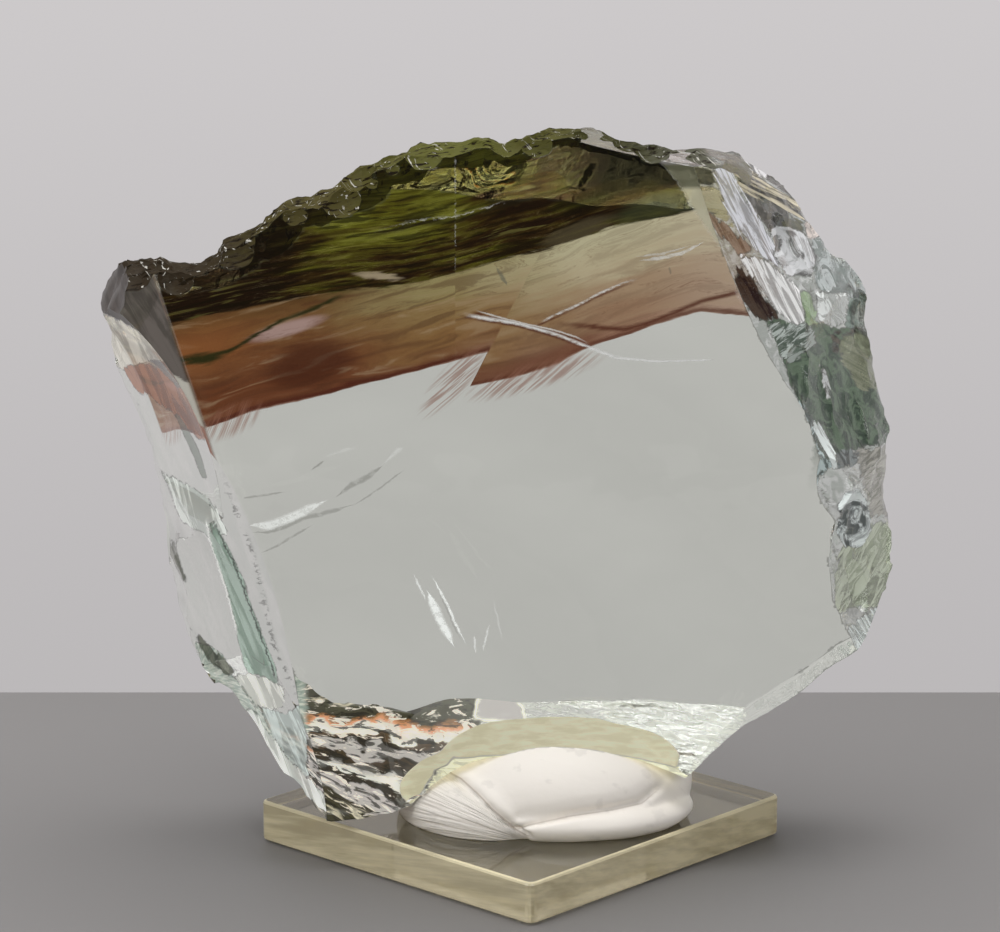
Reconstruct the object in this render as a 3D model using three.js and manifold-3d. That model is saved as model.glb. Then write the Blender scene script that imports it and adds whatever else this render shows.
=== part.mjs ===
// Andara crystal: a broken chunk of clear cast glass with a dark olive and brown band along its
// top, pressed into a folded pad of white mineral tack on a square plate of clear acrylic.
//
// Millimetres, +Z up. +X runs along the chunk to its right, and +Y from its broad front face to its
// back. The origin is the middle of the plate's underside.
import * as THREE from "three";
import { mergeVertices } from "three/addons/utils/BufferGeometryUtils.js";
import Module from "manifold-3d";

const wasm = await Module();
wasm.setup();

// ---- driving dimensions ----------------------------------------------------------------------

const PLATE = { side: 45, thickness: 5, turn: 46.9, corner: 1.0, bevel: 0.35 };

// The pad of tack: three lobes of one folded lump, flat where it is pressed on the plate.
const PAD_LOBES = [
  { at: [4.6, -3.4, 8.6], radii: [16.2, 13.6, 9.0], turn: 0 }, // the smooth upper fold
  { at: [-2.8, -4.6, 6.8], radii: [12.2, 12.4, 7.4], turn: 12 }, // the creased lower left
  { at: [6.2, -8.2, 6.6], radii: [14.6, 9.8, 3.6], turn: 5 }, // the rolled lower edge
];
const PAD_SEAT_GAP = 0.3; // between the tack and the glass pressed into it

// The chunk's outline, seen square on to its broad face, as runs of [x, z] points. Each run is
// widest at its own depth (girdle) and draws in by frontTaper and backTaper mm per mm of depth.
const OUTLINE = [
  {
    run: "left", girdle: 13, frontTaper: 0.3, backTaper: 0.45,
    points: [
      [-40.7, 21.6], [-42.2, 26.3], [-43.1, 30.1], [-44.2, 33.3], [-44.1, 37.8], [-44.6, 41.6],
      [-45.5, 45.4], [-46.4, 48.6], [-47.8, 51.7], [-49.2, 54.9], [-49.9, 58.6], [-50.7, 63.0],
      [-50.8, 65.4],
    ],
  },
  {
    run: "top", girdle: -3, frontTaper: 0.1, backTaper: 0.3,
    points: [
      [-48.2, 70.5], [-46.7, 71.7], [-44.9, 72.5], [-42.5, 72.8], [-40.2, 72.0], [-37.8, 72.0],
      [-35.7, 73.2], [-34.8, 74.7], [-32.5, 75.6], [-30.5, 77.1], [-28.9, 78.8], [-26.6, 79.8],
      [-24.8, 80.3], [-22.4, 81.1], [-20.7, 82.1], [-19.9, 83.0], [-17.2, 84.2], [-14.2, 85.4],
      [-11.9, 86.3], [-8.4, 86.5], [-5.5, 87.0], [-3.7, 87.3], [-2.0, 86.5], [-0.2, 87.4],
      [2.7, 88.2], [5.6, 88.7], [8.0, 88.4], [9.7, 87.6], [13.8, 86.5], [18.5, 85.7],
      [22.0, 85.2], [25.5, 84.5],
    ],
  },
  {
    run: "right", girdle: 8, frontTaper: 0.3, backTaper: 0.4,
    points: [
      [29.1, 81.7], [31.0, 80.1], [32.8, 77.7], [34.4, 75.3], [36.1, 72.6], [37.1, 71.1],
      [38.9, 69.9], [40.5, 68.1], [41.5, 66.5], [41.7, 64.0], [42.1, 60.9], [42.7, 56.6],
      [43.5, 52.9], [44.6, 49.8], [44.7, 47.9], [44.2, 45.4], [44.4, 41.6], [44.8, 38.5],
      [45.5, 35.3], [45.6, 32.4],
    ],
  },
  {
    run: "lower right", girdle: -11, frontTaper: 0, backTaper: -0.12,
    points: [
      [44.3, 30.6], [42.4, 28.9], [40.6, 27.5], [38.9, 26.3], [36.5, 25.0], [33.0, 21.9], [29.5, 19.7],
      [26.6, 18.0], [23.6, 15.5], [21.3, 13.2], [19.6, 11.4],
    ],
  },
  {
    run: "bottom", girdle: -12, frontTaper: 0, backTaper: 0.02,
    points: [
      [17.7, 12.3], [14.1, 13.6], [9.3, 14.6], [4.6, 14.8], [-0.2, 14.6], [-4.9, 13.8],
      [-7.9, 12.6],
    ],
  },
  {
    run: "toe", girdle: -12, frontTaper: 0, backTaper: 0.3,
    points: [[-10.9, 10.4], [-13.0, 7.6], [-15.1, 7.3], [-17.4, 6.4], [-19.8, 6.2]],
  },
  {
    run: "lower left", girdle: -5, frontTaper: 0.2, backTaper: 0.5,
    points: [[-23.1, 5.5], [-26.7, 6.9], [-29.1, 9.0], [-31.5, 12.0]],
  },
  {
    run: "left corner", girdle: 5, frontTaper: 0.25, backTaper: 0.5,
    points: [[-34.0, 14.6], [-36.6, 16.9], [-39.0, 19.0]],
  },
];
const BLOCK = { front: -17, back: 23, steps: 13, ease: 2 }; // ease: points over which runs blend
const HACKLE = { height: 0.4, fade: 4 }; // unevenness of the torn sides, level at the girdle

// Fracture faces. Each is a shallow dish cut across the block: it passes through at, square to
// facing, and has risen by lift where it is half its reach to either side (a negative lift is a
// crown). ripple adds rings round the point where the crack began.
const FACES = [
  {
    face: "front", at: [0, -11.2, 42], facing: [0, -1, 0.05], reach: [100, 90], cell: 6.5, lift: -0.7,
  },
  {
    face: "back", at: [0, 16.6, 42], facing: [0.03, 1, -0.08], reach: [100, 90], cell: 6.5, lift: -1.1,
    ripple: { from: [20, -40], step: 26, height: 0.2 },
  },
  {
    face: "left upper", at: [-43.7, 0.3, 58], facing: [-0.8, -0.4, -0.45], reach: [36, 24],
    cell: 4, lift: 2.0,
  },
  {
    face: "left waist", at: [-44.2, 0.3, 49], facing: [-0.86, -0.5, 0], reach: [36, 14],
    cell: 4, lift: 1.2,
  },
  {
    face: "left middle", at: [-38.0, 1.3, 31.5], facing: [-0.824, -0.501, -0.265], reach: [36, 22],
    cell: 4, lift: 1.5,
  },
  {
    face: "left foot", at: [-27.3, -6.3, 13], facing: [-0.845, -0.494, -0.204], reach: [26, 20],
    cell: 3, lift: 1.2,
  },
  {
    face: "left bevel", at: [-30.4, -10.9, 34.5], facing: [-0.341, -0.938, -0.057], reach: [10, 38],
    cell: 5, lift: 0.3,
  },
  {
    face: "right upper", at: [36.8, -1.9, 55.4], facing: [0.849, -0.475, 0.231], reach: [30, 22],
    cell: 3.2, lift: 2.4, ripple: { from: [-9, 14], step: 7.5, height: 0.16 },
  },
  {
    face: "right lower", at: [39.9, -2.0, 37.4], facing: [0.872, -0.488, 0.029], reach: [26, 17],
    cell: 3.2, lift: 2.2,
  },
  {
    face: "shoulder bevel", at: [26.5, -7.5, 73.6], facing: [0.44, -0.861, 0.256], reach: [10, 38],
    cell: 5, lift: 0.3,
  },
  {
    face: "shoulder", at: [31.9, -0.9, 73.4], facing: [0.782, -0.406, 0.474], reach: [30, 26],
    cell: 3.2, lift: 2.4, ripple: { from: [-4, 16], step: 6.5, height: 0.2 },
  },
  {
    face: "shoulder top", at: [20.3, -5.2, 85.1], facing: [0.166, -0.213, 0.963], reach: [22, 26],
    cell: 4, lift: 0.5,
  },
  {
    face: "underside left", at: [-18.5, 2, 10.9], facing: [-0.08, 0.32, -0.95], reach: [26, 60],
    cell: 2.7, lift: 1.4, ripple: { from: [30, -160], step: 5.2, height: 0.25 },
  },
  {
    face: "underside middle", at: [14, 4, 14.2], facing: [0, 0.17, -0.985], reach: [36, 60],
    cell: 5, lift: 1.5,
  },
  {
    face: "underside right", at: [32.6, -3, 19.8], facing: [0.66, -0.13, -0.74], reach: [60, 30],
    cell: 4.4, lift: 0.8,
  },
  {
    face: "back left", at: [-46.5, 20, 58], facing: [-0.62, 0.66, 0.42], reach: [70, 70],
    cell: 5, lift: 1.2, ripple: { from: [0, 34], step: 12, height: 0.2 },
  },
  {
    face: "back crest", at: [8, 14.6, 80], facing: [0.06, 0.72, 0.69], reach: [70, 24],
    cell: 4, lift: 0.9, ripple: { from: [30, 12], step: 10, height: 0.2 },
  },
  {
    face: "back right", at: [41.2, 13, 52], facing: [0.78, 0.6, 0.16], reach: [36, 60],
    cell: 4.4, lift: 1.0, ripple: { from: [4, -36], step: 11, height: 0.2 },
  },
  {
    face: "back foot", at: [-35.6, 17.6, 16.4], facing: [-0.5, 0.72, -0.48], reach: [40, 44],
    cell: 4.4, lift: 1.2,
  },
];
const CUTTER = { overlap: 1.25, depth: 60 }; // a cutter's size past its reach, and its height

// Conchoidal scoops: where a flake came away. Each is a ball of radius r, stretched across and up
// where it isn't round, and sunk by depth at a point.
const SCOOPS = [
  { at: [41.2, -5.5, 40.6], facing: [0.8, -0.6, 0.05], r: 7, depth: 1.6, stretch: [1, 1.6] }, // the bulb
  { at: [37.4, -8.6, 46.8], facing: [0.55, -0.8, 0.2], r: 5, depth: 1.2, stretch: [1, 1.2] },
  { at: [43.6, 1.5, 50.5], facing: [0.9, -0.3, 0.1], r: 8, depth: 0.9, stretch: [1, 1.3] },
  { at: [41.6, -6.0, 32.2], facing: [0.75, -0.65, -0.1], r: 7, depth: 0.8 },
  { at: [38.0, -5.0, 62.4], facing: [0.7, -0.65, 0.3], r: 8, depth: 1.6, stretch: [1, 1.1] }, // shoulder
  { at: [36.3, -4.0, 67.0], facing: [0.7, -0.6, 0.4], r: 6, depth: 1.5, stretch: [1, 1.4] },
  { at: [33.4, -4.0, 71.6], facing: [0.7, -0.6, 0.5], r: 8, depth: 1.5, stretch: [1, 1.3] },
  { at: [30.0, -5.0, 77.4], facing: [0.6, -0.6, 0.5], r: 7, depth: 1.5, stretch: [1, 1.4] },
  { at: [40.4, 2.0, 67.0], facing: [0.85, -0.1, 0.5], r: 9, depth: 0.9, stretch: [1, 1.2] },
  { at: [35.5, 2.5, 75.4], facing: [0.75, 0, 0.7], r: 10, depth: 0.9, stretch: [1, 1.3] },
  { at: [29.2, 2.0, 82.0], facing: [0.5, 0.1, 0.9], r: 8, depth: 0.9 },
  { at: [-49.8, 10, 60], facing: [-1, -0.1, 0.1], r: 12, depth: 0.5, stretch: [1, 1.3] }, // left edge
  { at: [-45.6, 10, 46], facing: [-1, -0.1, -0.1], r: 12, depth: 0.5, stretch: [1, 1.2] },
  { at: [-43.4, 10, 33], facing: [-1, 0, 0.1], r: 9, depth: 0.6, stretch: [1, 1.2] },
  { at: [-39.6, 10, 20], facing: [-0.9, 0.1, -0.4], r: 9, depth: 0.6 },
  { at: [-33.0, 2, 14.0], facing: [-0.7, 0.1, -0.7], r: 10, depth: 0.9 },
  { at: [-17.2, -12.2, 6.5], facing: [0.1, -0.7, -0.7], r: 5, depth: 0.5 }, // the toe
  { at: [-12.4, -12.2, 8.3], facing: [0.3, -0.7, -0.6], r: 5, depth: 0.6 },
];

// Small flakes off the torn crest, one every step mm along the top run, at each depth in turn. They
// are longest where the crest is torn along the glass's layers.
const CREST_CHIPS = {
  step: 2.7, radius: [3, 6], depth: [0.3, 0.7], fall: 0.3,
  places: [
    { y: -9, lean: -0.7, stretch: 1.3 }, { y: -3, lean: 0, stretch: 1.8 },
    { y: 4, lean: 0.3, stretch: 2.4 }, { y: -6, lean: -0.4, stretch: 1.6 },
    { y: 9, lean: 0.3, stretch: 2.2 },
  ],
};

// ---- helpers ---------------------------------------------------------------------------------

const vector = (a) => new THREE.Vector3(...a);

// A number from 0 to 1 that depends only on n.
function scatter(n) {
  const s = Math.sin(n * 12.9898 + 4.1414) * 43758.5453;
  return s - Math.floor(s);
}

const between = ([low, high], share) => low + (high - low) * share;

function solid(geometry) {
  const bare = geometry.index ? geometry.toNonIndexed() : geometry.clone();
  bare.deleteAttribute("normal");
  bare.deleteAttribute("uv");
  const merged = mergeVertices(bare, 1e-4);
  return new wasm.Manifold(
    new wasm.Mesh({
      numProp: 3,
      vertProperties: merged.attributes.position.array,
      triVerts: new Uint32Array(merged.index.array),
    }),
  );
}

function node(name, manifold, material) {
  const mesh = manifold.getMesh();
  const geometry = new THREE.BufferGeometry();
  geometry.setAttribute("position", new THREE.BufferAttribute(mesh.vertProperties, 3));
  geometry.setIndex(new THREE.BufferAttribute(mesh.triVerts, 1));
  geometry.computeVertexNormals();
  const made = new THREE.Mesh(geometry, material);
  made.name = name;
  return made;
}

// The turn that takes local X, Y and Z to across, up and facing.
function frameOf(at, facing) {
  const n = vector(facing).normalize();
  const guide = Math.abs(n.z) > 0.85 ? new THREE.Vector3(0, 1, 0) : new THREE.Vector3(0, 0, 1);
  const across = new THREE.Vector3().crossVectors(guide, n).normalize();
  const up = new THREE.Vector3().crossVectors(n, across);
  return new THREE.Matrix4().makeBasis(across, up, n).setPosition(vector(at));
}

// ---- the glass -------------------------------------------------------------------------------

// Height of a fracture face above its own plane, where u runs across and v up it.
function relief({ reach, lift, ripple }, u, v) {
  const dish = lift * ((2 * u / reach[0]) ** 2 + (2 * v / reach[1]) ** 2);
  if (!ripple) return dish;
  const distance = Math.hypot(u - ripple.from[0], v - ripple.from[1]);
  return dish + ripple.height * Math.cos((2 * Math.PI * distance) / ripple.step);
}

// The block of air outside a fracture face.
function faceCutter(face) {
  const [width, height] = face.reach.map((reach) => reach * CUTTER.overlap);
  const geometry = new THREE.BoxGeometry(
    width, height, CUTTER.depth,
    Math.round(width / face.cell), Math.round(height / face.cell), 1,
  );
  geometry.translate(0, 0, CUTTER.depth / 2);
  const p = geometry.attributes.position;
  for (let i = 0; i < p.count; i++) {
    if (Math.abs(p.getZ(i)) < 1e-6) p.setZ(i, relief(face, p.getX(i), p.getY(i)));
  }
  geometry.applyMatrix4(frameOf(face.at, face.facing));
  return solid(geometry);
}

function scoop({ at, facing, r, depth, stretch = [1, 1] }) {
  const detail = Math.round(3 + r / 8);
  const geometry = new THREE.IcosahedronGeometry(r, detail);
  geometry.scale(...stretch, 1);
  geometry.translate(0, 0, r - depth);
  geometry.applyMatrix4(frameOf(at, facing));
  return solid(geometry);
}

// The outline's points, each with the way in towards the chunk's middle, and with its run's
// settings eased into those of the next run.
function outlinePoints() {
  const points = OUTLINE.flatMap((run) => run.points.map(([x, z]) => ({ run, x, z })));
  const pick = (i) => points[(i + points.length) % points.length];
  points.forEach((p, i) => {
    const [before, after] = [pick(i - 1), pick(i + 1)];
    p.inward = new THREE.Vector2(after.z - before.z, before.x - after.x).normalize();
    p.index = i;
    for (const setting of ["girdle", "frontTaper", "backTaper"]) {
      let sum = 0;
      for (let k = -BLOCK.ease; k <= BLOCK.ease; k++) sum += pick(i + k).run[setting];
      p[setting] = sum / (2 * BLOCK.ease + 1);
    }
  });
  return points;
}

// How far an outline point is drawn in at depth y, and where it then lies.
function drawnIn(p, y) {
  const past = y - p.girdle;
  const fade = Math.min(1, Math.abs(past) / HACKLE.fade);
  const tear = Math.sin(1.3 * p.index + 0.4 * y) * Math.sin(0.7 * p.index - 0.5 * y + 1.3);
  const taper = past < 0 ? -past * p.frontTaper : past * p.backTaper;
  const inset = taper + HACKLE.height * fade * tear;
  return [p.x + p.inward.x * inset, p.z + p.inward.y * inset];
}

// The rough block: the outline run through the chunk's depth, drawn in before and behind its girdle.
function roughBlock(points) {
  const shape = new THREE.Shape(points.map((p) => new THREE.Vector2(p.x, p.z)));
  const depth = BLOCK.back - BLOCK.front;
  const geometry = new THREE.ExtrudeGeometry(shape, { depth, steps: BLOCK.steps, bevelEnabled: false });
  geometry.rotateX(Math.PI / 2);
  geometry.translate(0, BLOCK.back, 0);
  const key = (x, z) => x.toFixed(3) + " " + z.toFixed(3);
  const found = new Map(points.map((p) => [key(p.x, p.z), p]));
  const at = geometry.attributes.position;
  for (let i = 0; i < at.count; i++) {
    const [x, z] = drawnIn(found.get(key(at.getX(i), at.getZ(i))), at.getY(i));
    at.setX(i, x);
    at.setZ(i, z);
  }
  return solid(geometry);
}

function crestChips() {
  const { points: crest, girdle } = OUTLINE.find((run) => run.run === "top");
  const path = new THREE.CurvePath();
  for (let i = 1; i < crest.length; i++) {
    path.add(new THREE.LineCurve(new THREE.Vector2(...crest[i - 1]), new THREE.Vector2(...crest[i])));
  }
  const chips = [];
  const count = Math.floor(path.getLength() / CREST_CHIPS.step);
  for (let i = 0; i < count; i++) {
    const p = path.getPointAt((i + scatter(i) * 0.7) / count);
    const { y, lean, stretch } = CREST_CHIPS.places[i % CREST_CHIPS.places.length];
    chips.push({
      at: [p.x, y, p.y - CREST_CHIPS.fall * Math.abs(y - girdle)],
      facing: [scatter(i + 40) - 0.6, lean, 0.8],
      r: between(CREST_CHIPS.radius, scatter(i + 80)),
      depth: between(CREST_CHIPS.depth, scatter(i + 120)),
      stretch: [stretch, 1],
    });
  }
  return chips;
}

function chunkOfGlass() {
  let glass = roughBlock(outlinePoints());
  for (const face of FACES) glass = glass.subtract(faceCutter(face));
  for (const hollow of [...SCOOPS, ...crestChips()]) glass = glass.subtract(scoop(hollow));
  const pieces = glass.decompose();
  return pieces.reduce((most, piece) => (piece.volume() > most.volume() ? piece : most));
}

// ---- the tack and the plate ------------------------------------------------------------------

function padOfTack(glass) {
  const lobes = PAD_LOBES.map(({ at, radii, turn }) => {
    const geometry = new THREE.SphereGeometry(1, 24, 14);
    geometry.scale(...radii);
    geometry.rotateZ(THREE.MathUtils.degToRad(turn));
    geometry.translate(...at);
    return solid(geometry);
  });
  let pad = lobes.reduce((all, lobe) => all.add(lobe));
  const under = new THREE.BoxGeometry(80, 80, 20).translate(0, 0, PLATE.thickness - 10);
  pad = pad.subtract(solid(under));
  const gap = PAD_SEAT_GAP;
  for (const move of [[0, 0, -gap], [gap, 0, 0], [-gap, 0, 0], [0, gap, 0], [0, -gap, 0]]) {
    pad = pad.subtract(glass.translate(move));
  }
  const pieces = pad.decompose();
  return pieces.reduce((most, piece) => (piece.volume() > most.volume() ? piece : most));
}

function plate() {
  const { side, thickness, turn, corner, bevel } = PLATE;
  const half = side / 2 - bevel;
  const r = corner - bevel;
  const shape = new THREE.Shape();
  shape.moveTo(-half + r, -half);
  shape.lineTo(half - r, -half).absarc(half - r, -half + r, r, -Math.PI / 2, 0);
  shape.lineTo(half, half - r).absarc(half - r, half - r, r, 0, Math.PI / 2);
  shape.lineTo(-half + r, half).absarc(-half + r, half - r, r, Math.PI / 2, Math.PI);
  shape.lineTo(-half, -half + r).absarc(-half + r, -half + r, r, Math.PI, 1.5 * Math.PI);
  const geometry = new THREE.ExtrudeGeometry(shape, {
    depth: thickness - 2 * bevel, curveSegments: 2,
    bevelThickness: bevel, bevelSize: bevel, bevelSegments: 1,
  });
  geometry.translate(0, 0, bevel);
  geometry.rotateZ(THREE.MathUtils.degToRad(turn));
  return solid(geometry);
}

// ---- assembly --------------------------------------------------------------------------------

const GLASS = new THREE.MeshStandardMaterial({
  color: 0xc9d6c8, roughness: 0.03, metalness: 0, transparent: true, opacity: 0.45,
});
const TACK = new THREE.MeshStandardMaterial({ color: 0xd6cec4, roughness: 0.6, metalness: 0 });
const ACRYLIC = new THREE.MeshStandardMaterial({
  color: 0xcfc08c, roughness: 0.05, metalness: 0, transparent: true, opacity: 0.5,
});

const glass = chunkOfGlass();
const specimen = new THREE.Group();
specimen.add(node("crystal", glass, GLASS));
specimen.add(node("putty_pad", padOfTack(glass), TACK));
specimen.add(node("base_plate", plate(), ACRYLIC));

export default specimen;
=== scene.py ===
"""Andara crystal: a broken chunk of banded glass on a pad of white tack and a clear acrylic plate.

The chunk is carved as the real one was: a rough block loses a flake at each fracture face, and
then small flakes along its edges. Shapes are worked out in millimetres and scaled to metres last.
"""

import math
from types import SimpleNamespace

import bmesh
import bpy
from mathutils import Matrix, Vector, noise


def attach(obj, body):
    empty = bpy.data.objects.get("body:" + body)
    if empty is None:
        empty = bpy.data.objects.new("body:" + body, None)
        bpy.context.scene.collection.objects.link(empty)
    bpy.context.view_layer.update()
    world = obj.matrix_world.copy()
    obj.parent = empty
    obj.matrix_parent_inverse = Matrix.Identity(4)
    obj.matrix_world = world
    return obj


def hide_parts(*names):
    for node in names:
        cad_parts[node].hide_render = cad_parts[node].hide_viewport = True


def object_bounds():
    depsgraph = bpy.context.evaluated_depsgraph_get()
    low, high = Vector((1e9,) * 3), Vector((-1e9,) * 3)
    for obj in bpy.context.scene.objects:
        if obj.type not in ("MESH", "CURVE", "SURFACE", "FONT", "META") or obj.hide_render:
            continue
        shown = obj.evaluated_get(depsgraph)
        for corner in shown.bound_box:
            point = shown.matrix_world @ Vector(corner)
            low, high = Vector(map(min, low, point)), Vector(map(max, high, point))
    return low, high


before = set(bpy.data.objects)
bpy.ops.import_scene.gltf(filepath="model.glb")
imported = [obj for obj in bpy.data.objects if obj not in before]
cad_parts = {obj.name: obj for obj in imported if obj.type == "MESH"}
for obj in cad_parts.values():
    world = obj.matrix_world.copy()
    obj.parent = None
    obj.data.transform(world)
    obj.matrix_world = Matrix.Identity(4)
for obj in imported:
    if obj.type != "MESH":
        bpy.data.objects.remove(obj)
cad_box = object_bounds()

MM = 0.001

# ---- sizes, in millimetres ---------------------------------------------------------------------

# The eye that sees the front: where it is, how many degrees it looks down, and its lens.
EYE = Vector((-2.54, -491.32, 167.58))
LOOK_DOWN = 13.83
LENS = {"length": 152.1, "sensor": 36, "nearest": 10}

# The chunk's outline, square on to its broad face, as runs of (x, z) points. Each run is widest at
# its own depth (girdle) and draws in by front and back mm per mm of depth before and behind it.
OUTLINE = [
    {"girdle": 13, "front": 0.3, "back": 0.45, "tear": 0.3, "points": [
        (-40.7, 21.6), (-42.2, 26.3), (-43.1, 30.1), (-44.2, 33.3), (-44.1, 37.8), (-44.6, 41.6),
        (-45.5, 45.4), (-46.4, 48.6), (-47.8, 51.7), (-49.2, 54.9), (-49.9, 58.6), (-50.7, 63.0),
        (-50.8, 65.4)]},
    {"girdle": -3, "front": 0.1, "back": 0.3, "tear": 0.5, "points": [
        (-48.2, 70.5), (-46.7, 71.7), (-44.9, 72.5), (-42.5, 72.8), (-40.2, 72.0), (-37.8, 72.0),
        (-35.7, 73.2), (-34.8, 74.7), (-32.5, 75.6), (-30.5, 77.1), (-28.9, 78.8), (-26.6, 79.8),
        (-24.8, 80.3), (-22.4, 81.1), (-20.7, 82.1), (-19.9, 83.0), (-17.2, 84.2), (-14.2, 85.4),
        (-11.9, 86.3), (-8.4, 86.5), (-5.5, 87.0), (-3.7, 87.3), (-2.0, 86.5), (-0.2, 87.4),
        (2.7, 88.2), (5.6, 88.7), (8.0, 88.4), (9.7, 87.6), (13.8, 86.5), (18.5, 85.7),
        (22.0, 85.2), (25.5, 84.5)]},
    {"girdle": 8, "front": 0.3, "back": 0.4, "tear": 0.4, "points": [
        (29.1, 81.7), (31.0, 80.1), (32.8, 77.7), (34.4, 75.3), (36.1, 72.6), (37.1, 71.1),
        (38.9, 69.9), (40.5, 68.1), (41.5, 66.5), (41.7, 64.0), (42.1, 60.9), (42.7, 56.6),
        (43.5, 52.9), (44.6, 49.8), (44.7, 47.9), (44.2, 45.4), (44.4, 41.6), (44.8, 38.5),
        (45.5, 35.3), (45.6, 32.4)]},
    {"girdle": -11, "front": 0, "back": -0.12, "tear": 0.15, "points": [
        (44.3, 30.6), (42.4, 28.9), (40.6, 27.5), (38.9, 26.3), (36.5, 25.0), (33.0, 21.9),
        (29.5, 19.7), (26.6, 18.0), (23.6, 15.5), (21.3, 13.2), (19.6, 11.4)]},
    {"girdle": -12, "front": 0, "back": 0.02, "tear": 0.1, "points": [
        (17.7, 12.3), (14.1, 13.6), (9.3, 14.6), (4.6, 14.8), (-0.2, 14.6), (-4.9, 13.8),
        (-7.9, 12.6)]},
    {"girdle": -12, "front": 0, "back": 0.3, "tear": 0.25, "points": [
        (-10.9, 10.4), (-13.0, 7.6), (-15.1, 7.3), (-17.4, 6.4), (-19.8, 6.2)]},
    {"girdle": -5, "front": 0.2, "back": 0.5, "tear": 0.25, "points": [
        (-23.1, 5.5), (-26.7, 6.9), (-29.1, 9.0), (-31.5, 12.0)]},
    {"girdle": 5, "front": 0.25, "back": 0.5, "tear": 0.25, "points": [
        (-34.0, 14.6), (-36.6, 16.9), (-39.0, 19.0)]},
]
LEFT_RUN, CREST_RUN, RIGHT_RUN, FOOT_RUN = (OUTLINE[i] for i in (0, 1, 2, 7))

# The rough block: its y at the front and back, the length of its outline, how many points to
# either side a run is eased over, and its mesh size.
BLOCK = {"front": -17, "back": 23, "around": 290, "ease": 2}
CELL = 0.75
HACKLE = {"height": 0.4, "fade": 4}  # the ridges that run back from the girdle

# Fracture faces: a shallow dish through a point, square to facing, that has risen by lift where it
# is half its reach to either side. ripple is (start u, start v, step, height) of its rings, and
# tear is how rough it is, and how fast that changes across and up.
FACES = {
    "front": {"at": (0, -11.2, 42), "facing": (0, -1, 0.05), "reach": (100, 90), "lift": -0.7},
    "back": {"at": (0, 16.6, 42), "facing": (0.03, 1, -0.08), "reach": (100, 90), "lift": -1.1,
             "ripple": (20, -40, 26, 0.2)},
    "left upper": {"at": (-43.7, 0.3, 58), "facing": (-0.8, -0.4, -0.45), "reach": (36, 24),
                   "lift": 2.0},
    "left waist": {"at": (-44.2, 0.3, 49), "facing": (-0.86, -0.5, 0), "reach": (36, 14),
                   "lift": 1.2},
    "left middle": {"at": (-38.0, 1.3, 31.5), "facing": (-0.824, -0.501, -0.265), "reach": (36, 22),
                    "lift": 1.5},
    "left foot": {"at": (-27.3, -6.3, 13), "facing": (-0.845, -0.494, -0.204), "reach": (26, 20),
                  "lift": 1.2},
    "left bevel": {"at": (-30.4, -10.9, 34.5), "facing": (-0.341, -0.938, -0.057),
                   "reach": (10, 38), "lift": 0.3},
    "right upper": {"at": (36.8, -1.9, 55.4), "facing": (0.849, -0.475, 0.231), "reach": (30, 22),
                    "lift": 2.4, "ripple": (-9, 14, 7.5, 0.16), "tear": (0.3, 0.25, 0.35)},
    "right lower": {"at": (39.9, -2.0, 37.4), "facing": (0.872, -0.488, 0.029), "reach": (26, 17),
                    "lift": 2.2, "tear": (0.3, 0.3, 0.3)},
    "shoulder bevel": {"at": (26.5, -7.5, 73.6), "facing": (0.44, -0.861, 0.256), "reach": (10, 38),
                       "lift": 0.3},
    "shoulder": {"at": (31.9, -0.9, 73.4), "facing": (0.782, -0.406, 0.474), "reach": (30, 26),
                 "lift": 2.4, "ripple": (-4, 16, 6.5, 0.2), "tear": (0.6, 0.4, 0.25)},
    "shoulder top": {"at": (20.3, -5.2, 85.1), "facing": (0.166, -0.213, 0.963), "reach": (22, 26),
                     "lift": 0.5},
    "underside left": {"at": (-18.5, 2, 10.9), "facing": (-0.08, 0.32, -0.95), "reach": (26, 60),
                       "lift": 1.4, "ripple": (30, -160, 5.2, 0.25), "tear": (0.5, 0.07, 0.35)},
    "underside middle": {"at": (14, 4, 14.2), "facing": (0, 0.17, -0.985), "reach": (36, 60),
                         "lift": 1.5, "tear": (0.14, 0.12, 0.5)},
    "underside right": {"at": (32.6, -3, 19.8), "facing": (0.66, -0.13, -0.74), "reach": (60, 30),
                        "lift": 0.8, "tear": (0.15, 0.1, 0.5)},
    "back left": {"at": (-46.5, 20, 58), "facing": (-0.62, 0.66, 0.42), "reach": (70, 70),
                  "lift": 1.2, "ripple": (0, 34, 12, 0.2)},
    "back crest": {"at": (8, 14.6, 80), "facing": (0.06, 0.72, 0.69), "reach": (70, 24),
                   "lift": 0.9, "ripple": (30, 12, 10, 0.2)},
    "back right": {"at": (41.2, 13, 52), "facing": (0.78, 0.6, 0.16), "reach": (36, 60),
                   "lift": 1.0, "ripple": (4, -36, 11, 0.2)},
    "back foot": {"at": (-35.6, 17.6, 16.4), "facing": (-0.5, 0.72, -0.48), "reach": (40, 44),
                  "lift": 1.2},
}

# The air outside the faces: how far past a face's reach it goes, how deep it is, how uneven the
# face it leaves, and its mesh size.
CUTTER = {"overlap": 1.25, "depth": 60, "uneven": 0.05,
          "cell": 0.7, "broad cell": 0.9}

# The glass's finishes, by their place among its materials.
BANDED_FACE, TORN_CREST, LEFT_SIDE, RIGHT_SIDE, UNDERSIDE, CLEAR_FACE, CRACKED_FACE = range(7)
FINISH_OF = {"left": LEFT_SIDE, "right": RIGHT_SIDE, "shoulder": RIGHT_SIDE,
             "underside": UNDERSIDE}  # by the first word of a face's name
TORN = {"left": (-37, 71), "right": (27, 84), "under": 30}  # the torn rims: past x and below z
NEAR_DEPTH = {"left": 13, "right": 8.6, "fade": 0.6}  # how far back the sides show their patches

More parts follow.
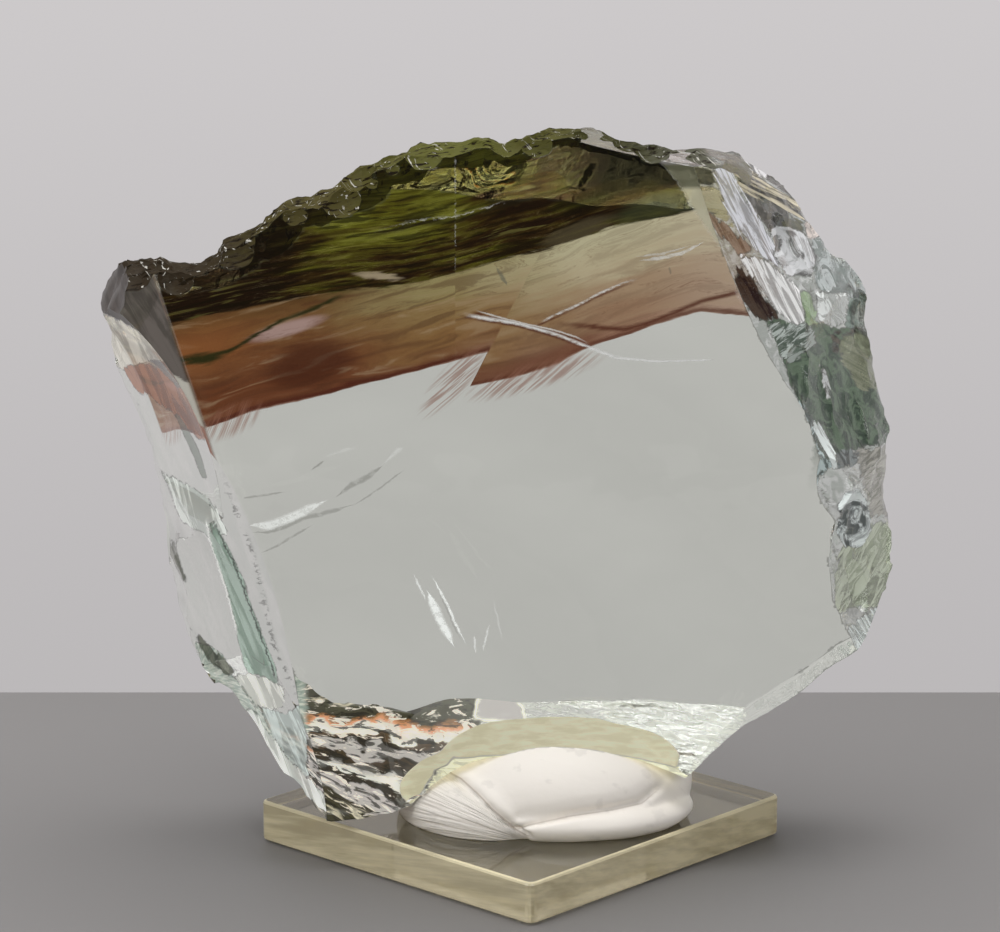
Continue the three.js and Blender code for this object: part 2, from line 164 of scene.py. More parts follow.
# Conchoidal scoops: (at, facing, ball radius, depth, stretch up).
SCOOPS = [
    ((41.2, -5.5, 40.6), (0.8, -0.6, 0.05), 7, 1.6, 1.6),
    ((37.4, -8.6, 46.8), (0.55, -0.8, 0.2), 5, 1.2, 1.2),
    ((43.6, 1.5, 50.5), (0.9, -0.3, 0.1), 8, 0.9, 1.3),
    ((41.6, -6.0, 32.2), (0.75, -0.65, -0.1), 7, 0.8, 1),
    ((38.0, -5.0, 62.4), (0.7, -0.65, 0.3), 8, 1.6, 1.1),
    ((36.3, -4.0, 67.0), (0.7, -0.6, 0.4), 6, 1.5, 1.4),
    ((33.4, -4.0, 71.6), (0.7, -0.6, 0.5), 8, 1.5, 1.3),
    ((30.0, -5.0, 77.4), (0.6, -0.6, 0.5), 7, 1.5, 1.4),
    ((40.4, 2.0, 67.0), (0.85, -0.1, 0.5), 9, 0.9, 1.2),
    ((35.5, 2.5, 75.4), (0.75, 0, 0.7), 10, 0.9, 1.3),
    ((29.2, 2.0, 82.0), (0.5, 0.1, 0.9), 8, 0.9, 1),
    ((-49.8, 10, 60), (-1, -0.1, 0.1), 12, 0.5, 1.3),
    ((-45.6, 10, 46), (-1, -0.1, -0.1), 12, 0.5, 1.2),
    ((-43.4, 10, 33), (-1, 0, 0.1), 9, 0.6, 1.2),
    ((-39.6, 10, 20), (-0.9, 0.1, -0.4), 9, 0.6, 1),
    ((-33.0, 2, 14.0), (-0.7, 0.1, -0.7), 10, 0.9, 1),
    ((-17.2, -12.2, 6.5), (0.1, -0.7, -0.7), 5, 0.5, 1),
    ((-12.4, -12.2, 8.3), (0.3, -0.7, -0.6), 5, 0.6, 1),
]
RIGHT_SCOOPS = 20  # scoops to the right of this x have the right side's finish

# Merged points and flat slivers are this close, an edge is sharp past this many degrees, and the
# crest is drawn in from this height to end this far under the frame's top.
MENDED = {"merge": 0.004, "flat": 0.002, "sharp": 24, "crest": 82, "under": 0.02}


# ---- shaping -----------------------------------------------------------------------------------


def turned_to(at, facing):
    """The matrix that takes local X, Y and Z to across, up and facing."""
    n = Vector(facing).normalized()
    guide = Vector((0, 1, 0)) if abs(n.z) > 0.85 else Vector((0, 0, 1))
    across = guide.cross(n).normalized()
    up = n.cross(across)
    turned = Matrix((across, up, n)).transposed().to_4x4()
    return Matrix.Translation(at) @ turned


def placed(name, data):
    """An object at the origin with a mesh, a light or a camera in it."""
    obj = bpy.data.objects.new(name, data)
    bpy.context.scene.collection.objects.link(obj)
    return obj


def piece(name, bm, slots=()):
    """A finished shape as an object, with its materials."""
    mesh = bpy.data.meshes.new(name)
    bm.to_mesh(mesh)
    bm.free()
    for material in slots:
        mesh.materials.append(material)
    return placed(name, mesh)


def opened(mesh):
    """A mesh's shape, to be worked on; the mesh itself is thrown away."""
    bm = bmesh.new()
    bm.from_mesh(mesh)
    bpy.data.meshes.remove(mesh)
    return bm


def stretch(bm, by):
    bmesh.ops.scale(bm, vec=by, verts=bm.verts)


def move(bm, by):
    bmesh.ops.translate(bm, vec=by, verts=bm.verts)


def turn(bm, angle):
    bmesh.ops.rotate(bm, matrix=Matrix.Rotation(angle, 3, "Z"), verts=bm.verts)


def smooth(bm):
    """One pass of smoothing over the whole shape."""
    bmesh.ops.smooth_vert(bm, verts=bm.verts, factor=0.5, use_axis_x=True, use_axis_y=True,
                          use_axis_z=True)


def combined(base, operation, others):
    """The mesh of base with the others taken from it or joined to it."""
    for other in others:
        step = base.modifiers.new(other.name, "BOOLEAN")
        step.operation = operation
        step.solver = "MANIFOLD"
        step.object = other
    graph = bpy.context.evaluated_depsgraph_get()
    mesh = bpy.data.meshes.new_from_object(base.evaluated_get(graph))
    for thing in (base, *others):
        bpy.data.objects.remove(thing)
    return mesh


def scatter(n):
    """A number from 0 to 1 that depends only on n."""
    s = math.sin(n * 12.9898 + 4.1414) * 43758.5453
    return s - math.floor(s)


def between(limits, share):
    """The number at a share of the way from the first limit to the second."""
    return limits[0] + (limits[1] - limits[0]) * share


# ---- carving the chunk -------------------------------------------------------------------------


def outline_settings():
    """Every outline point with its run's girdle and tapers, eased into the next run's."""
    points = [(p, run) for run in OUTLINE for p in run["points"]]
    count = len(points)
    eased = []
    for i, ((x, z), _) in enumerate(points):
        near = [points[(i + k) % count][1] for k in range(-BLOCK["ease"], BLOCK["ease"] + 1)]
        mean = [sum(run[key] for run in near) / len(near)
                for key in ("girdle", "front", "back", "tear")]
        before, after = points[i - 1][0], points[(i + 1) % count][0]
        inward = Vector((after[1] - before[1], before[0] - after[0])).normalized()
        eased.append((i, x, z, inward.x, inward.y, *mean))
    return eased


def along(settings, share):
    """The outline's settings at a share of the way round, and how many points it has passed."""
    passed = share * len(settings)
    i = int(passed) % len(settings)
    step = passed - int(passed)
    a, b = settings[i], settings[(i + 1) % len(settings)]
    return i + step, [p + (q - p) * step for p, q in zip(a[1:], b[1:])]


def torn_finish(x, z):
    """The finish of the torn block where no fracture face cuts it."""
    if x > TORN["right"][0] and z < TORN["right"][1]:
        return RIGHT_SIDE
    if x < TORN["left"][0] and z < TORN["left"][1]:
        return LEFT_SIDE
    return UNDERSIDE if z < TORN["under"] else TORN_CREST


def rough_block(slots):
    """The outline run through the chunk's depth, drawn in before and behind its girdle."""
    settings = outline_settings()
    around = int(BLOCK["around"] / CELL)
    deep = int((BLOCK["back"] - BLOCK["front"]) / CELL)
    bm = bmesh.new()
    bmesh.ops.create_grid(bm, x_segments=around, y_segments=deep, size=0.5)
    for v in bm.verts:
        passed, (x, z, in_x, in_z, girdle, front, back, tear) = along(settings, (v.co.x + 0.5) % 1)
        y = BLOCK["front"] + (v.co.y + 0.5) * (BLOCK["back"] - BLOCK["front"])
        past = y - girdle
        fade = min(1, abs(past) / HACKLE["fade"])
        swell = math.sin(1.3 * passed + 0.4 * y) * math.sin(0.7 * passed - 0.5 * y + 1.3)
        inset = -past * front if past < 0 else past * back
        inset += HACKLE["height"] * fade * swell * min(1, 4 * max(0, tear - 0.15))
        inset += tear * noise.fractal((x * 0.45, y * 0.3, z * 0.45), 0.8, 2, 4)
        v.co = (x + in_x * inset, y, z + in_z * inset)
    bmesh.ops.remove_doubles(bm, verts=bm.verts, dist=0.001)
    bmesh.ops.holes_fill(bm, edges=[e for e in bm.edges if e.is_boundary], sides=0)
    bmesh.ops.recalc_face_normals(bm, faces=bm.faces)
    for face in bm.faces:
        middle = face.calc_center_median()
        face.material_index = torn_finish(middle.x, middle.z)
    return piece("block", bm, slots)


def cutter(name, bm, at, facing, finish, slots):
    """What is cut away, set against the chunk, with the finish that it leaves."""
    bmesh.ops.transform(bm, matrix=turned_to(at, facing), verts=bm.verts)
    for face in bm.faces:
        face.material_index = finish
    return piece(name, bm, slots)


def relief(face, u, v):
    """How far a fracture face has risen at u across and v up from its middle."""
    reach, lift = face["reach"], face["lift"]
    height = lift * ((2 * u / reach[0]) ** 2 + (2 * v / reach[1]) ** 2)
    if "ripple" in face:
        start_u, start_v, step, ring = face["ripple"]
        height += ring * math.cos(math.tau * math.hypot(u - start_u, v - start_v) / step)
    return height


def face_cutter(name, slots):
    """The block of air outside a fracture face."""
    face = FACES[name]
    cell = CUTTER["broad cell" if face["reach"][0] > 90 else "cell"]
    width, height = (reach * CUTTER["overlap"] for reach in face["reach"])
    bm = bmesh.new()
    bmesh.ops.create_grid(bm, x_segments=int(width / cell), y_segments=int(height / cell), size=0.5)
    stretch(bm, (width, height, 1))
    wobble = Vector((face["at"][0], face["at"][2], 7.3))
    for v in bm.verts:
        u, w = v.co.x, v.co.y
        uneven = noise.fractal(v.co * 0.11 + wobble, 0.9, 2, 3)
        v.co.z = relief(face, u, w) + CUTTER["uneven"] * uneven
        if "tear" in face:
            rise, across, up = face["tear"]
            v.co.z += rise * noise.fractal(Vector((u * across, w * up, 0)) + wobble, 0.7, 2, 5)
    top = bmesh.ops.extrude_face_region(bm, geom=bm.faces[:])["geom"]
    for v in top:
        if isinstance(v, bmesh.types.BMVert):
            v.co.z = CUTTER["depth"]
    bmesh.ops.recalc_face_normals(bm, faces=bm.faces)
    finish = FINISH_OF.get(name.split()[0], BANDED_FACE)
    return cutter(name, bm, face["at"], face["facing"], finish, slots)


def scoop(name, at, facing, radius, depth, up, slots, across=1):
    """A smooth ball, stretched, that reaches just under the surface."""
    bm = bmesh.new()
    detail = 4 + (radius >= 5) + (radius > 15)
    bmesh.ops.create_icosphere(bm, subdivisions=detail, radius=radius)
    stretch(bm, (across, up, 1))
    for v in bm.verts:
        v.co += v.co.normalized() * 0.06 * noise.fractal(v.co * 0.5 + Vector(at), 0.9, 2, 3)
    move(bm, (0, 0, radius - depth))
    finish = RIGHT_SIDE if at[0] > RIGHT_SCOOPS else LEFT_SIDE
    return cutter(name, bm, at, facing, finish, slots)


def flake(name, at, facing, sizes, seed, finish, slots):
    """An angular chip: a coarse ball, stretched, that reaches just under the surface."""
    radius = between(sizes["radius"], scatter(seed + 80))
    depth = between(sizes["depth"], scatter(seed + 120))
    bm = bmesh.new()
    bmesh.ops.create_icosphere(bm, subdivisions=1 + (seed % 3 == 0), radius=radius)
    turn(bm, seed)
    stretch(bm, (1.5, 1, 1))
    move(bm, (0, 0, radius - depth))
    return cutter(name, bm, at, facing, finish, slots)


# Small conchoidal flakes on a face: how many, their ball radius and depth, and their stretch
# across and up.
FLAKED = {
    "shoulder": (22, (1.6, 3.4), (0.2, 0.6), (0.8, 3.0)),
    "right upper": (9, (2.0, 4.0), (0.2, 0.5), (0.9, 2.2)),
    "right lower": (16, (1.4, 3.4), (0.2, 0.6), (1.0, 1.6)),
    "shoulder top": (6, (2.0, 4.0), (0.2, 0.4), (1.0, 1.5)),
}

# Chips off the crest and the rims: how far apart, their radius and depth. The crest's lie at
# (y, lean) places in turn, and it falls by a share of how far they are from its top line.
CREST_CHIPS = {"step": 0.8, "radius": (0.9, 2.8), "depth": (0.15, 0.5), "fall": 0.3, "top": -3,
               "places": [(-9.5, -0.5), (-3, 0.1), (3, 0.3), (-6, 0), (-10.6, -0.9), (8, 0.3)]}
RIM_CHIPS = {"step": 1.9, "radius": (1.6, 4.2), "depth": (0.2, 0.6)}


def spread(points, step):
    """Points about a step apart along a run, at uneven distances."""
    run = [Vector(p) for p in points]
    lengths = [(b - a).length for a, b in zip(run, run[1:])]
    count = int(sum(lengths) / step)
    for i in range(count):
        left = (i + scatter(i) * 0.7) / count * sum(lengths)
        k = 0
        while left > lengths[k]:
            left -= lengths[k]
            k += 1
        yield i, run[k].lerp(run[k + 1], left / lengths[k])


def crest_chips(slots):
    """Small flakes off the torn crest, spaced along the outline's top run."""
    chips = []
    for i, p in spread(CREST_RUN["points"], CREST_CHIPS["step"]):
        y, lean = CREST_CHIPS["places"][i % len(CREST_CHIPS["places"])]
        at = (p.x, y, p.y - CREST_CHIPS["fall"] * abs(y - CREST_CHIPS["top"]))
        facing = (1.6 * scatter(i + 40) - 0.9, lean, 0.8)
        chips.append(flake(f"crest chip {i}", at, facing, CREST_CHIPS, i, TORN_CREST, slots))
    return chips


def face_flakes(slots):
    """Small flakes scattered over the chipped faces."""
    flakes = []
    for name, (count, radii, depths, (across, up)) in FLAKED.items():
        face = FACES[name]
        set_on_face = turned_to(face["at"], face["facing"])
        for i in range(count):
            seed = 7.3 * i + len(name)
            u = (scatter(seed) - 0.5) * face["reach"][0] * 0.9
            v = (scatter(seed + 1) - 0.5) * face["reach"][1] * 1.1
            at = set_on_face @ Vector((u, v, relief(face, u, v)))
            lean = Vector([scatter(seed + n) - 0.5 for n in (2, 3, 4)])
            facing = Vector(face["facing"]) + lean * 0.7
            flakes.append(scoop(f"{name} flake {i}", tuple(at), facing,
                                between(radii, scatter(seed + 5)), between(depths, scatter(seed + 6)),
                                up, slots, across))
    return flakes


def rim_chips(slots):
    """Small flakes off the left and right rims."""
    chips = []
    runs = ((LEFT_RUN, -1, LEFT_SIDE), (RIGHT_RUN, 1, RIGHT_SIDE), (FOOT_RUN, -1, LEFT_SIDE))
    for n, (run, side, finish) in enumerate(runs):
        for i, p in spread(run["points"], RIM_CHIPS["step"]):
            seed = i + 200 + 50 * n
            at = (p.x - side * 0.1, run["girdle"] - 6 * scatter(seed), p.y)
            facing = (side, 0.9 * scatter(seed + 9) - 0.7, 0.8 * scatter(seed + 5) - 0.4)
            chips.append(flake(f"rim chip {n} {i}", at, facing, RIM_CHIPS, seed, finish, slots))
    return chips


def draw_in(bm, start, top):
    """Bring what lies above start down in proportion, so that the highest point is at top."""
    highest = max(v.co.z for v in bm.verts)
    share = (top - start) / (highest - start)
    for v in bm.verts:
        v.co.z = start + (v.co.z - start) * share if v.co.z > start else v.co.z


def chunk(slots):
    """The block with every face, scoop, flake and chip taken off, and its sharp edges marked."""
    cutters = [face_cutter(name, slots) for name in FACES]
    cutters += [scoop(f"scoop {i}", *s, slots) for i, s in enumerate(SCOOPS)]
    cutters += face_flakes(slots) + crest_chips(slots) + rim_chips(slots)
    bm = opened(combined(rough_block(slots), "DIFFERENCE", cutters))
    bmesh.ops.remove_doubles(bm, verts=bm.verts, dist=MENDED["merge"])
    bmesh.ops.dissolve_degenerate(bm, edges=bm.edges, dist=MENDED["flat"])
    draw_in(bm, MENDED["crest"], cad_box[1][2] / MM - MENDED["under"])
    sharp = math.radians(MENDED["sharp"])
    for face in bm.faces:
        face.smooth = True
    for edge in bm.edges:
        edge.smooth = len(edge.link_faces) == 2 and edge.calc_face_angle(0) < sharp
    ridge = [float(any(not e.smooth for e in v.link_edges)) for v in bm.verts]
    stretch(bm, (MM, MM, MM))
    glass = piece("glass_chunk", bm, slots)
    glass.data.attributes.new("ridge", "FLOAT", "POINT").data.foreach_set("value", ridge)
    return glass


# ---- the layers of colour ----------------------------------------------------------------------

# How the layers run back: where they start, the middle that they spread from and how fast, and
# how fast they climb, less with each mm of height.
LAYERS_RUN = {"front": -11.5, "middle": -2.5, "spread": 0.00139, "climb": 0.25, "less": 0.0014}

# Edges of the layers on the broad face, as (x, z) points. The lower edge is broken at a notch.
LOWER_LEFT = [(-52, 54), (-41, 54), (-36.4, 54.1), (-31.1, 56), (-23.2, 57.9), (-16.5, 59.7),
              (-9.2, 61.7), (-3.8, 63.3), (0, 64)]
LOWER_RIGHT = [(-12, 56.6), (-7.5, 58.6), (-2.5, 59.6), (4.5, 61.8), (8, 63.6), (12.4, 65.1),
               (16.8, 66.7), (20.5, 67.8), (27.3, 67), (46, 66)]
OLIVE_EDGE = [(-52, 64.6), (-41.4, 66), (-36.3, 67.2), (-30.8, 68.5), (-24, 69.7), (-19.8, 70.3),
              (-13.7, 70.9), (-7.3, 72.3), (-1.4, 74.1), (3.1, 75.1), (6.9, 76.5), (11.1, 77.9),
              (16, 78.8), (20, 79.6), (46, 84)]
NOTCH = ((-3.8, 63.3), (-7.9, 55.4))
LEFT_EDGE = ((-43.1, 73.3), (-36.5, 52.4))

# The broad face's edge at the shoulder and down the right side, as (z, x) points.
SHOULDER = [(20, 33), (42.8, 33), (49.4, 34), (53.5, 34.3), (57.1, 32.8), (61.8, 30.7), (67, 27.9),
            (69.2, 25.1), (71.7, 24.7), (75.1, 23.2), (79.5, 20), (82.9, 18.1), (87.6, 14.1),
            (95, 10)]
SEAM = 7.7  # how far left of the middle the seam that parts the layers is

# Lines drawn on the broad face, as (x, z) points.
LEDGE = [(-9, 68.2), (-6, 67.3), (-0.4, 66.4), (4, 65.1), (8, 63.5), (11.1, 62.3), (15.8, 61.9),
         (22, 62.1), (26, 62.2)]
LEDGE_LIP = [(-9, 68.6), (-5.6, 68), (-3.6, 67.4), (0.6, 66.3), (3.9, 65.6), (6.8, 64.6), (9, 63.3)]
BRANCH = [(1, 66), (2.2, 66.6), (4.7, 67.8), (6.7, 68.7), (9.2, 70.1), (12.1, 71.3), (15, 72)]
SECOND_RED = [(0, 66.8), (6.3, 66.2), (11.7, 65.7), (14.6, 66.4), (17.9, 67.8), (21.2, 69.2),
              (24.5, 70), (30, 71)]
DARK_CRACK = [(-46, 61), (-39.5, 62.1), (-33.8, 63.2), (-27.9, 66.8), (-23.8, 68.3), (-21.6, 69.4),
         (-15, 71.5)]
BRIGHT = [(-20, 76.4), (-12, 78.6), (-7.6, 79), (-7.2, 79.1), (-2.3, 80.6), (4, 82.4)]

# Fine cracks: level ones have heights along x, and steep ones x along the height. Each has its
# look, its half-width, its strength and the points of its middle. A pale look is a painted
# highlight where the crack catches the light, and a dark one is painted shade along it.
CRACKS = [
    ("level", "pale", 0.8, 0.6, [(-32.3, 42.3), (-29.6, 42.2), (-26.8, 43.3), (-24.6, 44.4),
     (-22.6, 45.4)]),
    ("level", "dark", 0.4, 0.75, [(-32, 41.4), (-29.8, 41.4), (-27.7, 42.1), (-25.7, 43.1),
     (-23.2, 43.7), (-21.4, 44.2), (-19.2, 45)]),
    ("level", "dark", 0.55, 0.8, [(-22, 45.5), (-20, 47.1), (-18.2, 48), (-16, 49.6)]),
    ("level", "dark", 0.24, 0.7, [(-31, 38.7), (-28.7, 39.8), (-26.4, 41.2), (-24.2, 42.5)]),
    ("level", "dark", 0.2, 0.65, [(-20, 44.5), (-18.7, 45.3), (-16.4, 46.9), (-13.3, 49.3)]),
    ("level", "dark", 0.18, 0.7, [(-33.6, 45.4), (-30, 45.9), (-27.4, 46.3)]),
    ("level", "dark", 0.24, 0.8, [(-24.7, 48.9), (-23, 50.1)]),
    ("level", "pale", 0.5, 0.2, [(-16.6, 49.2), (-13.6, 52.2), (-11, 55.6), (-9.4, 59)]),
    ("level", "pale", 0.3, 0.12, [(-24, 50.2), (-19, 51.9), (-14.6, 54.8), (-11.4, 58.6)]),
    ("steep", "pale", 0.75, 0.95, [(27.3, -7.9), (31, -9.7), (34.6, -11.2)]),
    ("steep", "pale", 0.22, 0.9, [(27.5, -6.4), (30.3, -7.8), (32.8, -8.8), (36.4, -10.7)]),
    ("steep", "dark", 0.16, 0.5, [(27.9, -7), (30.3, -8.1), (32.8, -9.1), (34.5, -9.9)]),
    ("steep", "pale", 0.2, 0.6, [(33, -11.2), (36.5, -12.8)]),
    ("steep", "pale", 0.16, 0.5, [(26.8, -4.6), (30.4, -3.8)]),
    ("steep", "pale", 0.2, 0.5, [(26.6, -5.4), (28.9, -5.6)]),
    ("steep", "pale", 0.14, 0.2, [(28, -2.2), (33.5, -3.4)]),
]
CRACKS_IN_BAND = [
    ("level", "pale", 0.3, 0.6, [(13.4, 73.7), (16.6, 74.2), (18.6, 74.7), (21.4, 76.2)]),
    ("level", "pale", 0.18, 0.4, [(13, 74.3), (16.4, 74.6), (19.6, 75.6)]),
    ("steep", "dark", 0.4, 0.9, [(70.8, -1.7), (73.2, -3)]),
    ("steep", "dark", 0.2, 0.7, [(72.1, 17.3), (73.1, 17)]),
]
CRACKED = [(-35, -7, 36, 61), (-15, 0, 24, 39)]  # where the first ones are: from x, to x, z, z
CLEAR_OF = {"layers": 4.5, "edges": 1}  # how far below the layers and off the edges glass is clear

# Patches of the chipped right side, as they show from the front. Each has its name, the grain
# that runs through it, its tint and how white it is at either end of that grain, its own colour
# and its outline.
RIGHT_PATCHES = [
    ("ground", "swirl", ((0.5, 0.56, 0.52), (0.82, 0.86, 0.84)), (0, 0.3), (0.68, 0.7, 0.69),
     [(15, 95), (60, 95), (60, 20), (15, 20)]),
    ("top strip", "level", ((0.5, 0.47, 0.45), (0.75, 0.72, 0.7)), (0.1, 0.4), (0.5, 0.47, 0.46),
     [(14.5, 88.4), (23, 87.4), (22, 84.6), (17.2, 85.3)]),
    ("grey green", "level", ((0.02, 0.022, 0.012), (0.06, 0.06, 0.035)), (0, 0.2),
     (0.12, 0.12, 0.08), [(17.2, 85.2), (21.8, 84.5), (22.4, 82.4), (18.8, 82.7)]),
    ("cream", "level", ((0.55, 0.52, 0.25), (0.75, 0.7, 0.4)), (0.1, 0.5), (0.42, 0.4, 0.26),
     [(18.8, 82.6), (22.4, 82.5), (23.3, 80.5), (24.6, 77.6), (20.3, 80.3)]),
    ("brown wedge", "feather", ((0.16, 0.08, 0.045), (0.3, 0.2, 0.13)), (0, 0.3), (0.4, 0.28, 0.22),
     [(20.6, 80.2), (24.2, 77.6), (26.8, 75.2), (25.6, 74.2), (22.6, 77)]),
    ("rim", "slash", ((0.035, 0.025, 0.022), (0.13, 0.095, 0.08)), (0, 0.12), (0.3, 0.26, 0.25),
     [(23.5, 87.5), (29, 86.5), (38, 79), (37, 74), (34.6, 74.8), (33, 78), (31, 80.6),
     (27.8, 83.4), (24.6, 84.8)]),
    ("grey facet", "swirl", ((0.02, 0.022, 0.02), (0.07, 0.07, 0.065)), (0, 0.45),
     (0.22, 0.22, 0.22), [(25.4, 82.6), (31, 79.4), (31.6, 76.4), (29.6, 76.2), (26.6, 79.6)]),
    ("top swirl", "feather", ((0.1, 0.1, 0.1), (0.7, 0.7, 0.7)), (0, 0.85), (0.6, 0.59, 0.6),
     [(22.8, 86.8), (26.6, 86.4), (28.8, 83.4), (26.6, 82.6), (24, 84)]),
    ("slashes", "slash", ((0.003, 0.003, 0.002), (0.4, 0.36, 0.24)), (0, 0.75), (0.62, 0.56, 0.42),
     [(24.4, 84.4), (26.4, 84), (32.3, 80.2), (33.2, 77.9), (31, 78.8), (25.2, 82)]),
    ("olive facet", "slash", ((0.04, 0.04, 0.016), (0.09, 0.09, 0.045)), (0, 0.2), (0.2, 0.2, 0.14),
     [(30.3, 78.6), (32.5, 78), (33.2, 75.6), (31.8, 74.5), (30.4, 75.9)]),
    ("pink glint", "swirl", ((0.6, 0.5, 0.45), (0.8, 0.7, 0.65)), (0.6, 0.9), (0.74, 0.66, 0.61),
     [(32.7, 77.8), (34, 78), (34.8, 75.9), (33.6, 75.4)]),
    ("blue facets", "swirl", ((0.2, 0.27, 0.25), (0.5, 0.58, 0.56)), (0.05, 0.55),
     (0.5, 0.54, 0.54), [(33.8, 75.8), (36.4, 76), (42, 70), (42, 68), (37, 68.4), (34.2, 70.4)]),
    ("bright foot", "swirl", ((0.4, 0.45, 0.42), (0.8, 0.82, 0.8)), (0.25, 0.9), (0.72, 0.75, 0.73),
     [(34.2, 69.8), (37.9, 69.6), (38.4, 66.6), (36.6, 65.2), (34.6, 66.6)]),
    ("dark corner", "slash", ((0.05, 0.09, 0.07), (0.2, 0.3, 0.25)), (0, 0.25), (0.3, 0.36, 0.33),
     [(38, 68.4), (42, 69.6), (42, 65), (38, 65)]),
    ("green band", "swirl", ((0.01, 0.02, 0.012), (0.04, 0.075, 0.038)), (0, 0.17),
     (0.22, 0.29, 0.22), [(27.5, 66.9), (29.3, 65.4), (30, 62.8), (32.2, 56.9), (33.1, 54.7),
     (34.3, 51.5), (36.6, 49), (38.4, 50.6), (40.8, 51), (46, 51.2), (46, 54.7), (43, 65.2),
     (37, 65.2), (34.1, 66.5), (31.4, 66), (29.8, 67)]),
    ("green band's broken top", "hackle", ((0.03, 0.05, 0.035), (0.3, 0.36, 0.32)), (0, 0.8),
     (0.45, 0.5, 0.47), [(28.5, 66.4), (33.5, 66.3), (34.4, 64), (31.6, 61.4), (30.2, 62.6)]),
    ("green band's olive side", "slash", ((0.06, 0.075, 0.032), (0.14, 0.16, 0.08)), (0, 0.2),
     (0.3, 0.33, 0.24), [(36.8, 64.4), (43, 64.6), (43, 58), (40, 57.6), (37.4, 61.5)]),
    ("dark ledge", "slash", ((0.004, 0.004, 0.003), (0.03, 0.024, 0.015)), (0, 0), (0.1, 0.1, 0.1),
     [(36.2, 65), (40.6, 65.2), (40.6, 64.5), (37.1, 64.3), (37.2, 62.9), (38, 61.8), (36.4, 62.5)]),
    ("dark seam", "swirl", ((0.006, 0.013, 0.012), (0.3, 0.42, 0.4)), (0, 0.7), (0.55, 0.66, 0.66),
     [(32.1, 57.3), (33, 56.8), (34.2, 54.7), (34.6, 51.4), (36.5, 49.6), (35.6, 48.4),
     (34.6, 47.6), (34.1, 45), (33.4, 45.2), (33.8, 48), (33.6, 51.4), (33.2, 54.7)]),
    ("white streak", "feather", ((0.6, 0.66, 0.64), (0.8, 0.86, 0.84)), (0.6, 0.95),
     (0.76, 0.82, 0.8), [(33.9, 54.7), (34.9, 54.4), (37.4, 49.5), (36.6, 48.7), (35, 51.8)]),
    ("white bead", "swirl", ((0.3, 0.42, 0.4), (0.8, 0.86, 0.84)), (0.3, 0.95), (0.72, 0.78, 0.74),
     [(32.8, 46.8), (33.6, 46.4), (34.9, 43.4), (34, 42.4), (32.9, 43.8)]),
    ("pitted", "hackle", ((0.13, 0.13, 0.1), (0.5, 0.49, 0.43)), (0, 0.3), (0.4, 0.39, 0.34),
     [(39.4, 50.6), (46, 51.2), (46, 42), (41.6, 42.6), (40.2, 46.6)]),
    ("grey knot", "swirl", ((0.02, 0.026, 0.025), (0.1, 0.13, 0.13)), (0, 0.3), (0.3, 0.33, 0.33),
     [(36.7, 50.7), (38.6, 51), (40.1, 50.2), (38.9, 49), (37.1, 49)]),
    ("pale green", "rays", ((0.26, 0.32, 0.2), (0.72, 0.82, 0.6)), (0.1, 0.6), (0.52, 0.57, 0.45),
     [(38, 40.4), (41.5, 41.6), (46, 41.8), (46, 34), (42.6, 31.6), (39.9, 31.6), (37.3, 31.6),
     (36.8, 35.6)]),
    ("bulb", "eddy", ((0.015, 0.02, 0.02), (0.3, 0.36, 0.38)), (0, 0.97), (0.8, 0.86, 0.84),
     [(37.2, 44.2), (38.2, 46.2), (39.6, 46.2), (41.2, 43.5), (41.4, 40.8), (40.2, 38.8),
     (38.2, 39), (37, 41.4)]),
    ("foot facets", "feather", ((0.5, 0.6, 0.58), (0.8, 0.86, 0.85)), (0.1, 0.8),
     (0.68, 0.74, 0.72), [(36.6, 28.4), (41.6, 31.4), (45, 31.4), (41, 27.6), (37.6, 26)]),
    ("foot dashes", "feather", ((0.04, 0.04, 0.03), (0.2, 0.18, 0.15)), (0, 0.2), (0.3, 0.3, 0.26),
     [(34.4, 24.4), (36.9, 26.9), (37.5, 26.5), (35.3, 24.1)]),
    ("upper feather", "feather", ((0.3, 0.3, 0.32), (0.7, 0.7, 0.72)), (0.3, 0.97),
     (0.7, 0.71, 0.75), [(20.9, 86.5), (22.7, 82.3), (24.2, 78.2), (26.8, 75.3), (29.8, 72.8),
     (30.8, 74.1), (29.1, 75.8), (27.4, 78.6), (25.2, 81.8), (23.6, 85.6)]),
    ("swirls", "eddy", ((0.06, 0.06, 0.06), (0.6, 0.62, 0.6)), (0.05, 0.9), (0.66, 0.67, 0.68),
     [(29, 77.4), (31, 77.2), (33.2, 76.2), (34.6, 73.8), (33.6, 71.2), (30.8, 72), (29.4, 74)]),
    ("black chunk", "feather", ((0.003, 0.001, 0.001), (0.02, 0.01, 0.006)), (0, 0),
     (0.1, 0.1, 0.1), [(25.2, 73.9), (25.8, 72), (26.8, 71.9), (27.6, 70), (29.9, 67.5),
     (29.6, 66.6), (27.7, 66.8), (26.5, 67.8), (25.3, 69.7), (24.7, 71.5)]),
    ("lower feather", "feather", ((0.35, 0.34, 0.34), (0.8, 0.8, 0.8)), (0.35, 1), (0.8, 0.8, 0.79),
     [(25.4, 74.4), (27.3, 70.9), (29.5, 67.9), (31.8, 66.2), (33, 66.2), (32.9, 68), (32.2, 70.2),
     (30.4, 72), (27.8, 73.8)]),
    ("green chip", "swirl", ((0.25, 0.42, 0.16), (0.4, 0.6, 0.3)), (0.1, 0.4), (0.34, 0.46, 0.28),
     [(32.2, 69.9), (33.9, 69.9), (34.4, 66.2), (33.1, 66)]),
    # a painted highlight: the thin silver glint on the right side
    ("silver fleck", "swirl", ((0.5, 0.5, 0.5), (0.8, 0.8, 0.8)), (0.5, 0.95), (0.7, 0.72, 0.72),
     [(34.9, 61.2), (35.6, 60.4), (36.3, 57.2), (35.7, 57.1)]),
]

